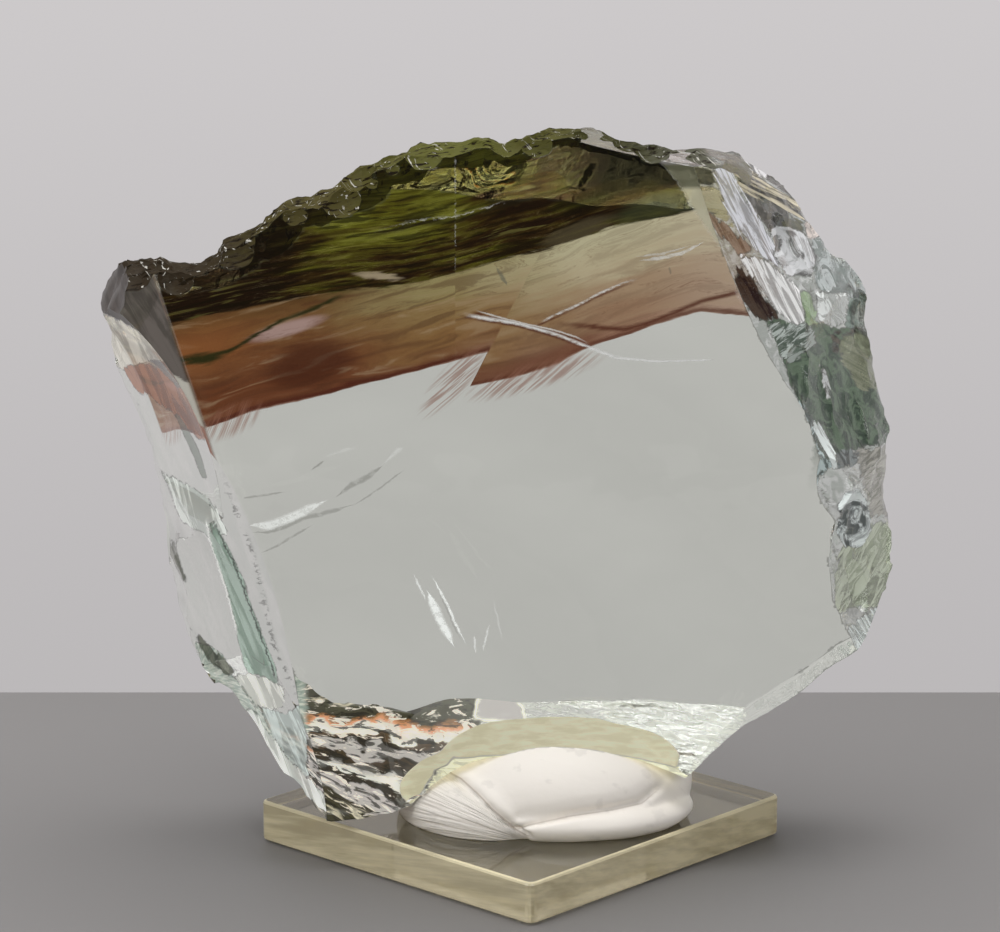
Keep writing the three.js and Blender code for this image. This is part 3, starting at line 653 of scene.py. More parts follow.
# Patches of the left side's facets, in the same way.
LEFT_PATCHES = [
    ("ground", "fold", ((0.86, 0.88, 0.86), (0.93, 0.93, 0.92)), (0, 0.1), (0.7, 0.69, 0.68),
     [(-60, 95), (-20, 95), (-20, 0), (-60, 0)]),
    ("grey top", "fold", ((0.03, 0.022, 0.02), (0.1, 0.08, 0.075)), (0.86, 0.93),
     (0.055, 0.046, 0.041), [(-52, 74), (-45.4, 74.5), (-40.2, 65.4), (-39.8, 63.6), (-40.7, 63.8),
     (-48.6, 66.8), (-52, 67.8)]),
    ("cream", "fold", ((0.8, 0.76, 0.6), (0.93, 0.9, 0.84)), (0.35, 0.6), (0.84, 0.8, 0.7),
     [(-52, 67.8), (-48.3, 66.8), (-40.7, 63.9), (-39.6, 62), (-43.3, 61.5), (-46.7, 59.9),
     (-52, 61)]),
    ("brown bar", "fold", ((0.04, 0.025, 0.02), (0.14, 0.1, 0.085)), (0, 0.15), (0.3, 0.25, 0.23),
     [(-43.5, 61.7), (-38.5, 61.9), (-38.2, 58.7), (-40.3, 58.3)]),
    ("pink brown", "fold", ((0.2, 0.08, 0.06), (0.5, 0.26, 0.2)), (0.3, 0.5), (0.42, 0.21, 0.14),
     [(-46.9, 60.3), (-43.3, 61.2), (-40.1, 58.6), (-38, 58.9), (-36.9, 56.6), (-35.9, 52.9),
     (-38, 52.3), (-41.1, 55.1), (-45.6, 57.9)]),
    ("dark crease", "fold", ((0.02, 0.025, 0.02), (0.2, 0.24, 0.2)), (0, 0.1), (0.3, 0.3, 0.3),
     [(-41, 55.2), (-40.3, 55), (-37.9, 51.2), (-37.1, 47.7), (-37.7, 47.6), (-38.7, 51.2)]),
    ("green chip", "fold", ((0.5, 0.6, 0.53), (0.85, 0.9, 0.86)), (0.45, 0.8), (0.8, 0.84, 0.79),
     [(-42.8, 47.6), (-37.2, 45.6), (-34.4, 41.6), (-36.3, 40.2), (-40.4, 42.2)]),
    ("dark rim", "fold", ((0.05, 0.055, 0.04), (0.3, 0.3, 0.26)), (0, 0.2), (0.4, 0.4, 0.36),
     [(-42.6, 39.8), (-41.3, 39.1), (-40.2, 36), (-39.4, 34), (-40.4, 34.2), (-41.6, 37)]),
    ("sliver", "fold", ((0.14, 0.26, 0.18), (0.42, 0.64, 0.5)), (0.05, 0.35), (0.42, 0.54, 0.47),
     [(-36.9, 45.2), (-35.7, 41.8), (-33.4, 37.1), (-31.8, 32.3), (-30.5, 28.7), (-29.2, 24.9),
     (-28.9, 22.3), (-32.4, 23.7), (-33.6, 27.4), (-34.5, 32.3), (-35.8, 37.1), (-36.7, 40.3)]),
    ("dark wedge", "fold", ((0.006, 0.008, 0.004), (0.06, 0.065, 0.045)), (0, 0.1),
     (0.2, 0.22, 0.16), [(-39.6, 28.4), (-37, 26.2), (-33.6, 23.3), (-35.4, 23), (-37.6, 24.8)]),
    ("foot cream", "fold", ((0.5, 0.54, 0.46), (0.85, 0.86, 0.8)), (0.6, 0.95), (0.95, 0.96, 0.89),
     [(-34.6, 23.2), (-30.7, 23.4), (-28.2, 22.3), (-28.2, 19.4), (-31.6, 18.8), (-33.2, 21.1)]),
    ("foot cyan", "fold", ((0.45, 0.56, 0.52), (0.75, 0.82, 0.8)), (0.5, 0.85), (0.76, 0.85, 0.81),
     [(-31.6, 19.2), (-28, 19), (-25.6, 21), (-25.4, 10.6), (-28.7, 12.9)]),
    ("foot edge", "fold", ((0.6, 0.64, 0.58), (0.85, 0.88, 0.84)), (0.65, 0.97), (0.95, 0.97, 0.92),
     [(-33.2, 18.8), (-32, 18.8), (-28.4, 13.7), (-25.4, 10.8), (-20.4, 7.2), (-20.4, 5.6),
     (-26.4, 8.6), (-29.8, 12.4)]),
]

# Patches of the underside, seen through the broad face.
UNDER_PATCHES = [
    ("ground", "ripple", ((0.8, 0.86, 0.82), (0.93, 0.95, 0.93)), (0.1, 0.7), (0.66, 0.67, 0.62),
     [(-60, 50), (60, 50), (60, -20), (-60, -20)]),
    ("pressed", "ripple", ((0.85, 0.85, 0.66), (0.9, 0.9, 0.72)), (0.8, 0.88), (0.86, 0.83, 0.6),
     [(-12.8, 5), (-12.4, 7.9), (-10, 12.7), (-7.3, 15.7), (-3.7, 17.8), (1.4, 18.6), (8, 18.6),
     (13, 16.9), (17.3, 14.1), (20, 11.4), (20, 5)]),
    ("dash", "ripple", ((0.01, 0.008, 0.004), (0.2, 0.14, 0.08)), (0, 0.3), (0.5, 0.4, 0.3),
     [(15.6, 15.6), (18.4, 15.2), (20.8, 14.5), (20.6, 14), (16.2, 14.6)]),
]
PATCHES = {"right": (RIGHT_SIDE, RIGHT_PATCHES), "left": (LEFT_SIDE, LEFT_PATCHES),
           "under": (UNDERSIDE, UNDER_PATCHES)}
NOWHERE = [(90, 90), (91, 90), (91, 91)]

# The pale hump that stands out of the underside's ridges.
HUMP = [(-5.9, 18.6), (-5.3, 21.7), (-3.5, 22.5), (-1.1, 22.5), (0.5, 20.5), (0.7, 18.3),
        (-2.5, 18.2)]

FAR = 2  # how far from an outline the distance to it still counts


def bent(points, x):
    """The height at x of a line through points."""
    if x <= points[0][0]:
        return points[0][1]
    for (x0, z0), (x1, z1) in zip(points, points[1:]):
        if x <= x1:
            return z0 + (z1 - z0) * (x - x0) / (x1 - x0)
    return points[-1][1]


def beside(line, x, z):
    """How far to the right of a line from its first point down to its second."""
    (x0, z0), (x1, z1) = line
    length = math.hypot(x1 - x0, z1 - z0)
    return ((x - x0) * (z0 - z1) - (z - z0) * (x0 - x1)) / length


def past_shoulder(x, z):
    """How far to the right of the broad face's right edge."""
    return x - bent(SHOULDER, z)


def on_broad_face(p):
    """Where the layer through a point meets the broad face.

    The layers slope up to the back, edge-on to a level look down at the broad face.
    """
    run = LAYERS_RUN
    depth = p.y - run["front"]
    x = (p.x - run["middle"]) / (1 + run["spread"] * depth) + run["middle"]
    z = p.z + depth * (run["climb"] - run["less"] * p.z)
    return x, z


def from_stretch(a, b, x, z):
    """How far a point is from the straight stretch between a and b."""
    ex, ez = b[0] - a[0], b[1] - a[1]
    share = max(0, min(1, ((x - a[0]) * ex + (z - a[1]) * ez) / (ex * ex + ez * ez)))
    return math.hypot(a[0] + ex * share - x, a[1] + ez * share - z)


def inside(outline, x, z):
    """How far inside a closed outline a point is; negative outside it. It ends at FAR."""
    for axis, value in enumerate((x, z)):
        reach = [point[axis] for point in outline]
        if not min(reach) - FAR < value < max(reach) + FAR:
            return -FAR
    nearest = FAR
    within = False
    for a, b in zip(outline, outline[1:] + outline[:1]):
        nearest = min(nearest, from_stretch(a, b, x, z))
        if (a[1] > z) != (b[1] > z) and x < a[0] + (b[0] - a[0]) * (z - a[1]) / (b[1] - a[1]):
            within = not within
    return nearest if within else -nearest


def off_line(line, x, z):
    """How far above a line from left to right a point is."""
    nearest = math.inf
    for a, b in zip(line, line[1:]):
        away = from_stretch(a, b, x, z)
        if away < abs(nearest):
            above = (b[0] - a[0]) * (z - a[1]) - (b[1] - a[1]) * (x - a[0])
            nearest = math.copysign(away, above)
    return nearest


def mark(mesh, name, rows):
    """Gives every point of a mesh its three numbers, under a name."""
    field = mesh.attributes.new(name, "FLOAT_VECTOR", "POINT")
    field.data.foreach_set("vector", [v for row in rows for v in row])


def mark_layers(mesh):
    """Marks each point with how far it is from the layers' edges and from the lines."""
    rows = {name: [] for name in ("layers", "lower", "edges", "lines", "streaks", "hump")}
    for v in mesh.vertices:
        x, z = on_broad_face(v.co / MM)
        lower = [z - bent(line, x) for line in (LOWER_LEFT, LOWER_RIGHT)]
        rows["layers"].append((x, z, z - bent(OLIVE_EDGE, x)))
        rows["lower"].append((*lower, beside(NOTCH, x, z)))
        rows["edges"].append((beside(LEFT_EDGE, x, z), past_shoulder(x, z), v.co.y / MM))
        rows["lines"].append([z - bent(line, x) for line in (LEDGE, LEDGE_LIP, BRANCH)])
        rows["streaks"].append([z - bent(line, x) for line in (SECOND_RED, DARK_CRACK, BRIGHT)])
        rows["hump"].append((inside(HUMP, x, z), 0, 0))
    for name, values in rows.items():
        mark(mesh, name, values)


def is_banded(x, z):
    """Whether the layers, or what lies past the broad face's edges, show at a place."""
    below = z - min(bent(LOWER_LEFT, x), bent(LOWER_RIGHT, x)) < -CLEAR_OF["layers"]
    past_left = beside(LEFT_EDGE, x, z) > CLEAR_OF["edges"]
    return not (below and past_left and past_shoulder(x, z) < -CLEAR_OF["edges"])


def mark_clear(mesh):
    """Gives the clear parts of the faces, and the cracked ones, finishes of their own."""
    points = [v.co / MM for v in mesh.vertices]
    seen = [on_broad_face(p) for p in points]
    banded = [is_banded(x, z) for x, z in seen]
    clear_past = {LEFT_SIDE: NEAR_DEPTH["left"], RIGHT_SIDE: NEAR_DEPTH["right"]}
    for face in mesh.polygons:
        corners = list(face.vertices)
        x, z = seen[corners[0]]
        depth = clear_past.get(face.material_index)
        if face.material_index == BANDED_FACE and not any(banded[i] for i in corners):
            low = any(x0 < x < x1 and z0 < z < z1 for x0, x1, z0, z1 in CRACKED)
            front = points[corners[0]].y < 0
            face.material_index = CRACKED_FACE if low and front else CLEAR_FACE
        elif depth and all(points[i].y > depth + NEAR_DEPTH["fade"] for i in corners):
            face.material_index = CLEAR_FACE


def mark_patches(mesh):
    """Each side's patches, three to an attribute, on the faces that carry that side's finish."""
    for side, (finish, patches) in PATCHES.items():
        used = {i for f in mesh.polygons if f.material_index == finish for i in f.vertices}
        seen = [on_broad_face(v.co / MM) if v.index in used else None for v in mesh.vertices]
        outlines = [patch[-1] for patch in patches]
        outlines += [NOWHERE] * (-len(outlines) % 3)
        for n in range(0, len(outlines), 3):
            rows = [[inside(o, *p) for o in outlines[n:n + 3]] if p else (0, 0, 0) for p in seen]
            mark(mesh, f"{side} {n // 3}", rows)


# ---- materials ---------------------------------------------------------------------------------


class Val:
    """A shader socket; Python arithmetic on it adds Math nodes."""

    def __init__(self, shader, socket):
        self.shader = shader
        self.socket = socket

    def __add__(self, other):
        return self.shader.math("ADD", self, other)

    def __radd__(self, other):
        return self.shader.math("ADD", other, self)

    def __sub__(self, other):
        return self.shader.math("SUBTRACT", self, other)

    def __rsub__(self, other):
        return self.shader.math("SUBTRACT", other, self)

    def __mul__(self, other):
        return self.shader.math("MULTIPLY", self, other)

    def __rmul__(self, other):
        return self.shader.math("MULTIPLY", other, self)

    def __truediv__(self, other):
        return self.shader.math("DIVIDE", self, other)

    def __rtruediv__(self, other):
        return self.shader.math("DIVIDE", other, self)

    def __abs__(self):
        return self.shader.math("ABSOLUTE", self)


class Shader:
    """The nodes of a material or a world, and the one that they end in."""

    def __init__(self, owner, last="Principled BSDF"):
        owner.use_nodes = True
        self.owner = owner
        self.tree = owner.node_tree
        self.last = self.tree.nodes[last]

    def plug(self, socket, value):
        if isinstance(value, Val):
            self.tree.links.new(value.socket, socket)
        elif isinstance(value, tuple) and socket.type == "RGBA":
            socket.default_value = (*value, 1)
        else:
            socket.default_value = value

    def fill(self, node, values):
        """Sets a node's sockets, named with _ for a space, or i and their place."""
        for key, value in values.items():
            name = int(key[1:]) if key[1:].isdigit() else key.replace("_", " ")
            self.plug(node.inputs[name], value)

    def node(self, kind, settings, out, **values):
        """A node of any type, and the one of its outputs that is used."""
        node = self.tree.nodes.new(kind)
        for key, value in settings.items():
            setattr(node, key, value)
        self.fill(node, values)
        return Val(self, node.outputs[out])

    def finish(self, **values):
        self.fill(self.last, values)

    def coat(self, share, **values):
        """Lays a milky finish over the first one, as strongly as share."""
        first = Val(self, self.last.outputs[0])
        milky = self.node("ShaderNodeBsdfPrincipled", {}, 0, **values)
        both = self.node("ShaderNodeMixShader", {}, 0, i0=share, i1=first, i2=milky)
        self.plug(self.tree.nodes["Material Output"].inputs["Surface"], both)

    def math(self, operation, *values):
        places = {f"i{n}": value for n, value in enumerate(values)}
        return self.node("ShaderNodeMath", {"operation": operation}, 0, **places)

    def largest(self, first, *others):
        for other in others:
            first = self.math("MAXIMUM", first, other)
        return first

    def clamp(self, a):
        return self.node("ShaderNodeClamp", {}, 0, Value=a)

    def rise(self, value, start, end, low=0.0, high=1.0):
        """low at start and before it, high at end and past it, smooth between."""
        return self.node("ShaderNodeMapRange", {"interpolation_type": "SMOOTHSTEP"}, 0,
                         Value=value, From_Min=start, From_Max=end, To_Min=low, To_Max=high)

    def stripe(self, value, half, centre=0.0, soft=1.0):
        """1 at the centre and 0 a half-width from it."""
        return self.rise(abs(value - centre), half * (1 - soft), half, 1.0, 0.0)

    def line(self, x, points):
        """The height at x of a line through points, level past its ends."""
        height = points[0][1]
        for (x0, z0), (x1, z1) in zip(points, points[1:]):
            height = height + self.node("ShaderNodeMapRange", {}, 0, Value=x, From_Min=x0,
                                        From_Max=x1, To_Min=0.0, To_Max=z1 - z0)
        return height

    def blob(self, x, z, at, radii, slope=0.0):
        """1 in the middle of an ellipse and 0 outside it."""
        across = (x - at[0]) / radii[0]
        up = (z - at[1] - (x - at[0]) * slope) / radii[1]
        return self.rise(across * across + up * up, 0.15, 1.0, 1.0, 0.0)

    def vector(self, x, y, z=0.0):
        return self.node("ShaderNodeCombineXYZ", {}, 0, X=x, Y=y, Z=z)

    def noise(self, vector, detail=3.0, rough=0.5, distortion=0.0, space="2D"):
        return self.node("ShaderNodeTexNoise", {"noise_dimensions": space}, 0, Vector=vector,
                         Scale=1.0, Detail=detail, Roughness=rough, Distortion=distortion)

    def streaks(self, x, z, run, sizes, detail=4.0, distortion=0.0):
        """Streaks from 0 to 1 along a direction, by how fast they change along and across it."""
        along = (x * run[0] + z * run[1]) * sizes[0]
        across = (z * run[0] - x * run[1]) * sizes[1]
        return self.noise(self.vector(along, across), detail, 0.6, distortion)

    def bump(self, height, depth):
        """A normal from a height, where 1 is depth millimetres."""
        return self.node("ShaderNodeBump", {}, 0, Height=height, Strength=1.0, Distance=depth * MM)

    def split(self, vector):
        """The three numbers in a vector."""
        node = self.tree.nodes.new("ShaderNodeSeparateXYZ")
        self.plug(node.inputs[0], vector)
        return [Val(self, out) for out in node.outputs]

    def attribute(self, name):
        return self.split(self.node("ShaderNodeAttribute", {"attribute_name": name}, 1))

    def ridge(self):
        """1 along the glass's sharp edges and 0 off them."""
        return self.node("ShaderNodeAttribute", {"attribute_name": "ridge"}, 2)

    def place(self):
        """Object coordinates in millimetres."""
        return [part / MM for part in self.split(self.node("ShaderNodeTexCoord", {}, "Object"))]

    def mix(self, share, a, b):
        """Colour a where share is 0, and b where it is 1."""
        return self.node("ShaderNodeMix", {"data_type": "RGBA"}, 2, Factor=share, i6=a, i7=b)

    def ramp(self, value, stops):
        """Colours along a value, each stop a (place, colour) pair."""
        colour = stops[0][1]
        for (start, _), (end, after) in zip(stops, stops[1:]):
            colour = self.mix(self.rise(value, start, end), colour, after)
        return colour


# Clear glass, the red lines, the milk on the broad face, and what the milk past it is dimmed by.
CLEAR = (0.902, 0.938, 0.869)
DARK_RED = (0.13, 0.035, 0.018)
GREY_MILK = (0.85, 0.86, 0.84)
DIMMED = (0.62, 0.62, 0.62)

# What shows past the shoulder, by height, and past the left edge, by height up a slant.
STRIP = [(60, CLEAR), (67, (0.75, 0.5, 0.4)), (78, (0.85, 0.8, 0.55)), (82, (0.85, 0.8, 0.55)),
         (82.6, (0.2, 0.2, 0.12)), (84.8, (0.24, 0.24, 0.15)), (85.3, (0.55, 0.52, 0.5))]
LEFT_STRIP = [(52, CLEAR), (54, CLEAR), (54.6, (0.55, 0.27, 0.2)), (59.6, (0.55, 0.27, 0.2)),
              (60, (0.9, 0.87, 0.75)), (64, (0.9, 0.87, 0.75)), (64.5, (0.09, 0.075, 0.062))]

# The warm layers at the left, in the middle and at the right, from their lower edge, at 0, to the
# olive one, at 1.
WARM_TONES = [
    [(0, (0.24, 0.085, 0.036)), (0.25, (0.22, 0.075, 0.028)), (0.5, (0.25, 0.1, 0.036)),
     (0.8, (0.26, 0.13, 0.045)), (1.05, (0.17, 0.09, 0.028))],
    [(0, (0.26, 0.11, 0.05)), (0.3, (0.36, 0.2, 0.07)), (0.6, (0.38, 0.25, 0.095)),
     (0.85, (0.44, 0.37, 0.16)), (1.05, (0.44, 0.39, 0.17))],
    [(0, (0.46, 0.26, 0.17)), (0.2, (0.47, 0.3, 0.18)), (0.45, (0.54, 0.39, 0.24)),
     (0.7, (0.74, 0.67, 0.43)), (1.05, (0.79, 0.76, 0.49))],
]

# The olive layer, by how light it is.
OLIVE_TONES = [
    (0, (0.02, 0.009, 0.003)), (0.25, (0.045, 0.024, 0.004)), (0.45, (0.085, 0.07, 0.008)),
    (0.7, (0.13, 0.125, 0.01)), (1, (0.23, 0.24, 0.03)),
]

# The torn crest, from left to right.
CREST_TONES = [
    (-38, (0.018, 0.013, 0.008)), (-24, (0.038, 0.032, 0.011)), (-6, (0.055, 0.056, 0.014)),
    (2, (0.045, 0.043, 0.012)), (10, (0.026, 0.025, 0.01)), (22, (0.05, 0.05, 0.036)),
]

# What the ridged underside shows, by height at its left end; its white stripes are painted
# highlights.
RIDGE_TONES = [
    (6, (0.03, 0.03, 0.014)), (8.6, (0.04, 0.036, 0.016)), (8.9, (0.5, 0.45, 0.33)),
    (9.3, (0.03, 0.026, 0.012)), (10.4, (0.04, 0.034, 0.014)), (10.6, (0.66, 0.6, 0.48)),
    (11, (0.05, 0.04, 0.02)), (11.6, (0.03, 0.025, 0.012)), (11.9, (0.5, 0.46, 0.45)),
    (13, (0.55, 0.5, 0.5)), (13.2, (0.02, 0.014, 0.008)), (13.9, (0.03, 0.02, 0.01)),
    (14.1, (0.8, 0.78, 0.74)), (14.9, (0.52, 0.49, 0.48)), (15.1, (0.025, 0.017, 0.01)),
    (15.9, (0.06, 0.035, 0.016)), (16.1, (0.5, 0.46, 0.45)), (17.1, (0.52, 0.48, 0.47)),
    (17.3, (0.02, 0.014, 0.008)), (17.7, (0.1, 0.06, 0.03)), (17.9, (0.85, 0.83, 0.78)),
    (18.6, (0.82, 0.74, 0.68)), (18.9, (0.72, 0.34, 0.18)), (19.3, (0.3, 0.13, 0.04)),
    (19.5, (0.05, 0.045, 0.024)), (21.2, (0.07, 0.066, 0.04)), (21.5, (0.6, 0.54, 0.42)),
    (21.9, (0.06, 0.055, 0.035)), (24, (0.07, 0.07, 0.05)),
]

# Lines down the left facets, as (height, x) points: the sliver's two edges and the bevel's edge.
SLIVER_DARK = [(22, -29.1), (24.9, -29.5), (28.7, -30.8), (32.3, -32.1), (37.1, -33.7), (42, -35.9)]
SLIVER_PALE = [(26, -33.2), (32.3, -34.6), (37.1, -35.9), (40.3, -36.8), (45.5, -37.2)]
BEVEL_EDGE = [(21.9, -26.1), (27.4, -28.5), (38.7, -30.9), (50, -34.9)]


def unevenness(s, x, z, up=2.2, rough=0.65):
    """What makes a drawn line uneven, from -0.5 to 0.5."""
    return s.noise(s.vector(x * 0.9, z * up), 4.0, rough) - 0.5


def fine_grain(s, x, olive):
    """Fine grain along the layers, from -0.5 to 0.5."""
    return s.noise(s.vector(x * 0.28 + 3, olive * 3.1), 4.0, 0.6) - 0.5


def on_face(s, y):
    """1 on the broad face and 0 behind it."""
    return s.rise(y, -7.5, -8.2)


def cracks(s, x, z, fine, chosen):
    """How dark and how pale the fine cracks make the glass: painted shade along them, and
    painted highlights where they catch the light.
    """
    broken = s.noise(s.vector(x * 0.9, z * 1.1), 4.0, 0.7)
    dark, pale = 0.0, 0.0
    for way, look, half, strength, points in chosen:
        start, end = points[0][0], points[-1][0]
        across, run = (x, z) if way == "steep" else (z, x)
        off = (across - s.line(run, points) + fine * 0.35) / half
        taper = (end - start) * 0.3
        length = s.rise(run, start, start + taper) * s.rise(run, end, end - taper)
        here = s.rise(abs(off), length, length * 0.3) * strength
        if look == "dark":
            dark = s.largest(dark, here)
        else:
            pale = s.largest(pale, here)
    return dark * s.rise(broken, 0.34, 0.48, 0.5, 1.0), pale * s.rise(broken, 0.36, 0.52, 0.6, 1.0)


def ends(s, x, z, fine):
    """The broad face past its left edge and past the shoulder: how much of it, its tint and milk."""
    left_edge, shoulder, y = s.attribute("edges")
    patchy = s.noise(s.vector(x * 0.45, z * 0.3), 4.0, 0.6) - 0.5
    green_side = s.mix(s.rise(patchy, -0.25, 0.3), (0.03, 0.05, 0.035), (0.2, 0.3, 0.22))
    strip = s.mix(s.rise(z, 67.5, 65.5) * s.rise(z, 46, 54), s.ramp(z, STRIP), green_side)
    slant = z + (x + 47.6) * 0.55 + fine
    grey = s.streaks(x, z, (0.5, -0.86), (0.1, 0.8), 5.0, 0.4)
    grey_top = s.rise(slant, 63.8, 64.6) * s.rise(grey, 0.4, 0.62)
    side = s.mix(grey_top, s.ramp(slant, LEFT_STRIP), (0.18, 0.15, 0.13))
    sliver = s.rise(z, 20, 24) * s.rise(z, 45, 38)
    sliver = sliver * s.stripe(left_edge + (z - 22) * 0.06 - 0.4, 2.2, soft=0.3)
    side = s.mix(sliver, side, (0.42, 0.62, 0.5))
    beyond, before = s.rise(shoulder + fine, -0.3, 0.3), s.rise(left_edge, 0.3, -0.3)
    tint = s.mix(s.rise(y, 9, 7), CLEAR, s.mix(before, strip, side))
    cover = s.largest(beyond * s.rise(z, 62, 66), before * s.rise(slant, 53.5, 54.6))
    return s.largest(beyond, before), tint, cover * s.rise(y, -6.5, -7.5)


def layers_at(s):
    """What the layers' colours are worked out from."""
    x, z, olive = s.attribute("layers")
    low_left, low_right, notch = s.attribute("lower")
    past_notch = s.rise(notch, -0.06, 0.06)
    past_seam = s.rise(x + SEAM, -0.05, 0.05)
    wave = s.noise(s.vector(x * 0.11, z * 0.2)) - 0.5
    grain = s.noise(s.vector(x * 0.1 + past_seam * 3.7, olive * 0.8 + 7), 5.0, 0.62) - 0.5
    low = low_left + (low_right - low_left) * past_notch + wave * 0.8
    return SimpleNamespace(x=x, z=z, olive=olive, low=low, low_right=low_right, wave=wave,
                           grain=grain, fine=fine_grain(s, x, olive), past_notch=past_notch,
                           past_seam=past_seam, share=low / (low - olive))


def red_lines(s, at):
    """The dark red lower edge of the warm layers, and the ledge's, lip's and branch's shadows."""
    x, fine = at.x, at.fine
    ledge, lip, branch = s.attribute("lines")
    second_red = s.attribute("streaks")[0]
    red = s.stripe(at.low - 0.3 + fine * 0.7, 0.55)
    band = s.stripe(second_red + fine * 0.6, 0.5) * s.rise(x, 2, 9)
    red = s.largest(red * s.rise(x, 6, -6, 0.75, 1.0), band * 0.9)
    edged = s.largest(s.stripe(ledge + 0.28, 0.26) * s.rise(x, -8, -5) * s.rise(x, 24, 8),
                      s.stripe(lip + 0.24, 0.2) * s.rise(x, -6, -5) * s.rise(x, 9, 7),
                      s.stripe(branch + 0.26, 0.24) * s.rise(x, 0, 2) * s.rise(x, 14, 10))
    return s.largest(red, edged * s.rise(fine, -0.25, 0.05, 0.3, 0.9))


def warm_layers(s, at):
    """The brown, amber and tan layers, with their streaks."""
    x, z, low, wave, grain, fine = at.x, at.z, at.low, at.wave, at.grain, at.fine
    blend = at.share + grain * 0.3 + fine * 0.12
    left, middle, right = (s.ramp(blend, stops) for stops in WARM_TONES)
    warm = s.mix(s.rise(x + wave * 10, -24, -12), left, middle)
    warm = s.mix(s.rise(x + wave * 10, -10, 14), warm, right)
    warm = s.mix(s.rise(x, 12, 26) * 0.4, warm, (0.88, 0.77, 0.6))
    flow = s.streaks(x + at.past_seam * 2.1, low, (1, 0), (0.1, 0.8), 5.0, 0.5)
    calm = s.rise(x, -8, 8, 0.8, 0.35)
    warm = s.mix(s.rise(flow, 0.48, 0.37) * calm * 0.6, warm, (0.12, 0.045, 0.02))
    warm = s.mix(s.rise(flow, 0.55, 0.66) * calm * 0.45, warm, (0.6, 0.45, 0.27))
    core = s.blob(x + grain * 3, z + fine, (-24.6, 61.6), (6.4, 3.4), 0.2)
    warm = s.mix(core * 0.8, warm, (0.1, 0.03, 0.013))
    amber = s.rise(x, -27, -37) * s.stripe(at.share - 0.72, 0.35)
    warm = s.mix(amber * 0.75, warm, (0.4, 0.15, 0.045))
    mauve = s.blob(x, z, (-27.2, 65.8), (5.4, 1.1), 0.3)
    warm = s.mix(mauve, warm, (0.6, 0.42, 0.36))
    strand = s.stripe(flow - 0.47, 0.012)
    warm = s.mix(strand * 0.4, warm, (0.15, 0.05, 0.02))
    warm = s.mix(red_lines(s, at), warm, DARK_RED)
    swath = s.stripe(at.low_right - 1.0, 1.5) * at.past_notch * s.rise(x, 11, 6)
    warm = s.mix(swath * 0.8, warm, (0.25, 0.1, 0.055))
    crack = s.attribute("streaks")[1]
    line = s.stripe(crack + fine * 0.6, 0.45) * s.rise(x, -20, -22)
    sharp = s.rise(x, -21, -23) * s.rise(x, -43, -40)
    line = s.largest(line, s.blob(x, z + fine, (-37.2, 62.3), (3.4, 0.8), 0.1) * sharp)
    return s.mix(line, warm, (0.04, 0.04, 0.01))


def olive_layer(s, at):
    """The olive and near-black layer under the crest."""
    x, z, olive, grain, fine = at.x, at.z, at.olive, at.grain, at.fine
    green = s.blob(x, z, (-14, 79.5), (12, 5.5), 0.25) * 0.5
    green = green + s.blob(x, z, (-2.5, 84.5), (5, 3.6)) * 0.55
    murk = s.rise(x, -22, -30) * 0.42 + s.rise(x, -6, 4) * 0.12
    dark = s.ramp(0.34 + green - murk + grain * 1.7 + fine * 0.7, OLIVE_TONES)
    stroke = s.streaks(x + at.past_seam * 5.3, olive, (1, 0), (0.13, 1.9), 6.0, 0.35)
    mottle = s.streaks(x, z, (0.8, 0.6), (0.7, 1.3), 4.0, 0.8)
    mottled = s.rise(x, 2, 6) * s.rise(olive, 6.5, 8.5)
    stroke = stroke + (mottle - stroke) * mottled
    dark = s.mix(s.rise(stroke, 0.48, 0.4) * 0.75, dark, (0.012, 0.008, 0.002))
    dark = s.mix(s.rise(stroke, 0.58, 0.68) * 0.35, dark, (0.33, 0.31, 0.08))
    scored = s.stripe(stroke, 0.007, 0.5) * s.rise(grain, -0.1, 0.1)
    dark = s.mix(scored * 0.5, dark, (0.6, 0.55, 0.3))
    dark_sheet = s.blob(x + grain * 6, z, (15.5, 80), (6.5, 1.9), 0.22)
    dark = s.mix(dark_sheet * 0.8, dark, (0.055, 0.064, 0.026))
    brown_sheet = s.blob(x + grain * 6, z, (6.5, 77.2), (5, 1.6), 0.35)
    dark = s.mix(brown_sheet * 0.8, dark, (0.11, 0.09, 0.045))
    deep = s.rise(x + grain * 6, 2, 10) * s.rise(olive + fine, 2.2, 4.2)
    dark = s.mix(deep * 0.97, dark, (0.003, 0.0026, 0.0007))
    cream = s.blob(x, z + fine, (-16.6, 72.0), (3.4, 0.55), -0.1)
    dark = s.mix(cream, dark, (0.5, 0.42, 0.27))
    bright = s.attribute("streaks")[2]
    line = s.stripe(bright + 0.5 + fine, 0.45) * s.rise(x, -21, -14) * s.rise(x, 5, 0)
    return s.mix(line * 0.8, dark, (0.02, 0.015, 0.005))


def fringes(s, at):
    """The combed fringes that hang from the layers' lower edge."""
    x, z = at.x, at.z
    comb = s.streaks(x, z, (0.38, 0.92), (0.12, 3.4), 2.0)
    hatch = s.rise(s.streaks(x, z, (0.75, 0.66), (0.12, 3.8), 2.0), 0.44, 0.56)
    left = s.rise(comb, 0.46, 0.58) * s.blob(x, z, (-33.8, 54.9), (4.4, 2.4), 0.4)
    before = hatch * s.blob(x, z, (-8, 59.6), (4.4, 2.8), 0.9) * (1 - at.past_notch)
    past = hatch * s.blob(x, z, (1.5, 60.2), (9, 2.0), 0.3) * at.past_notch
    return s.largest(left, before, past)


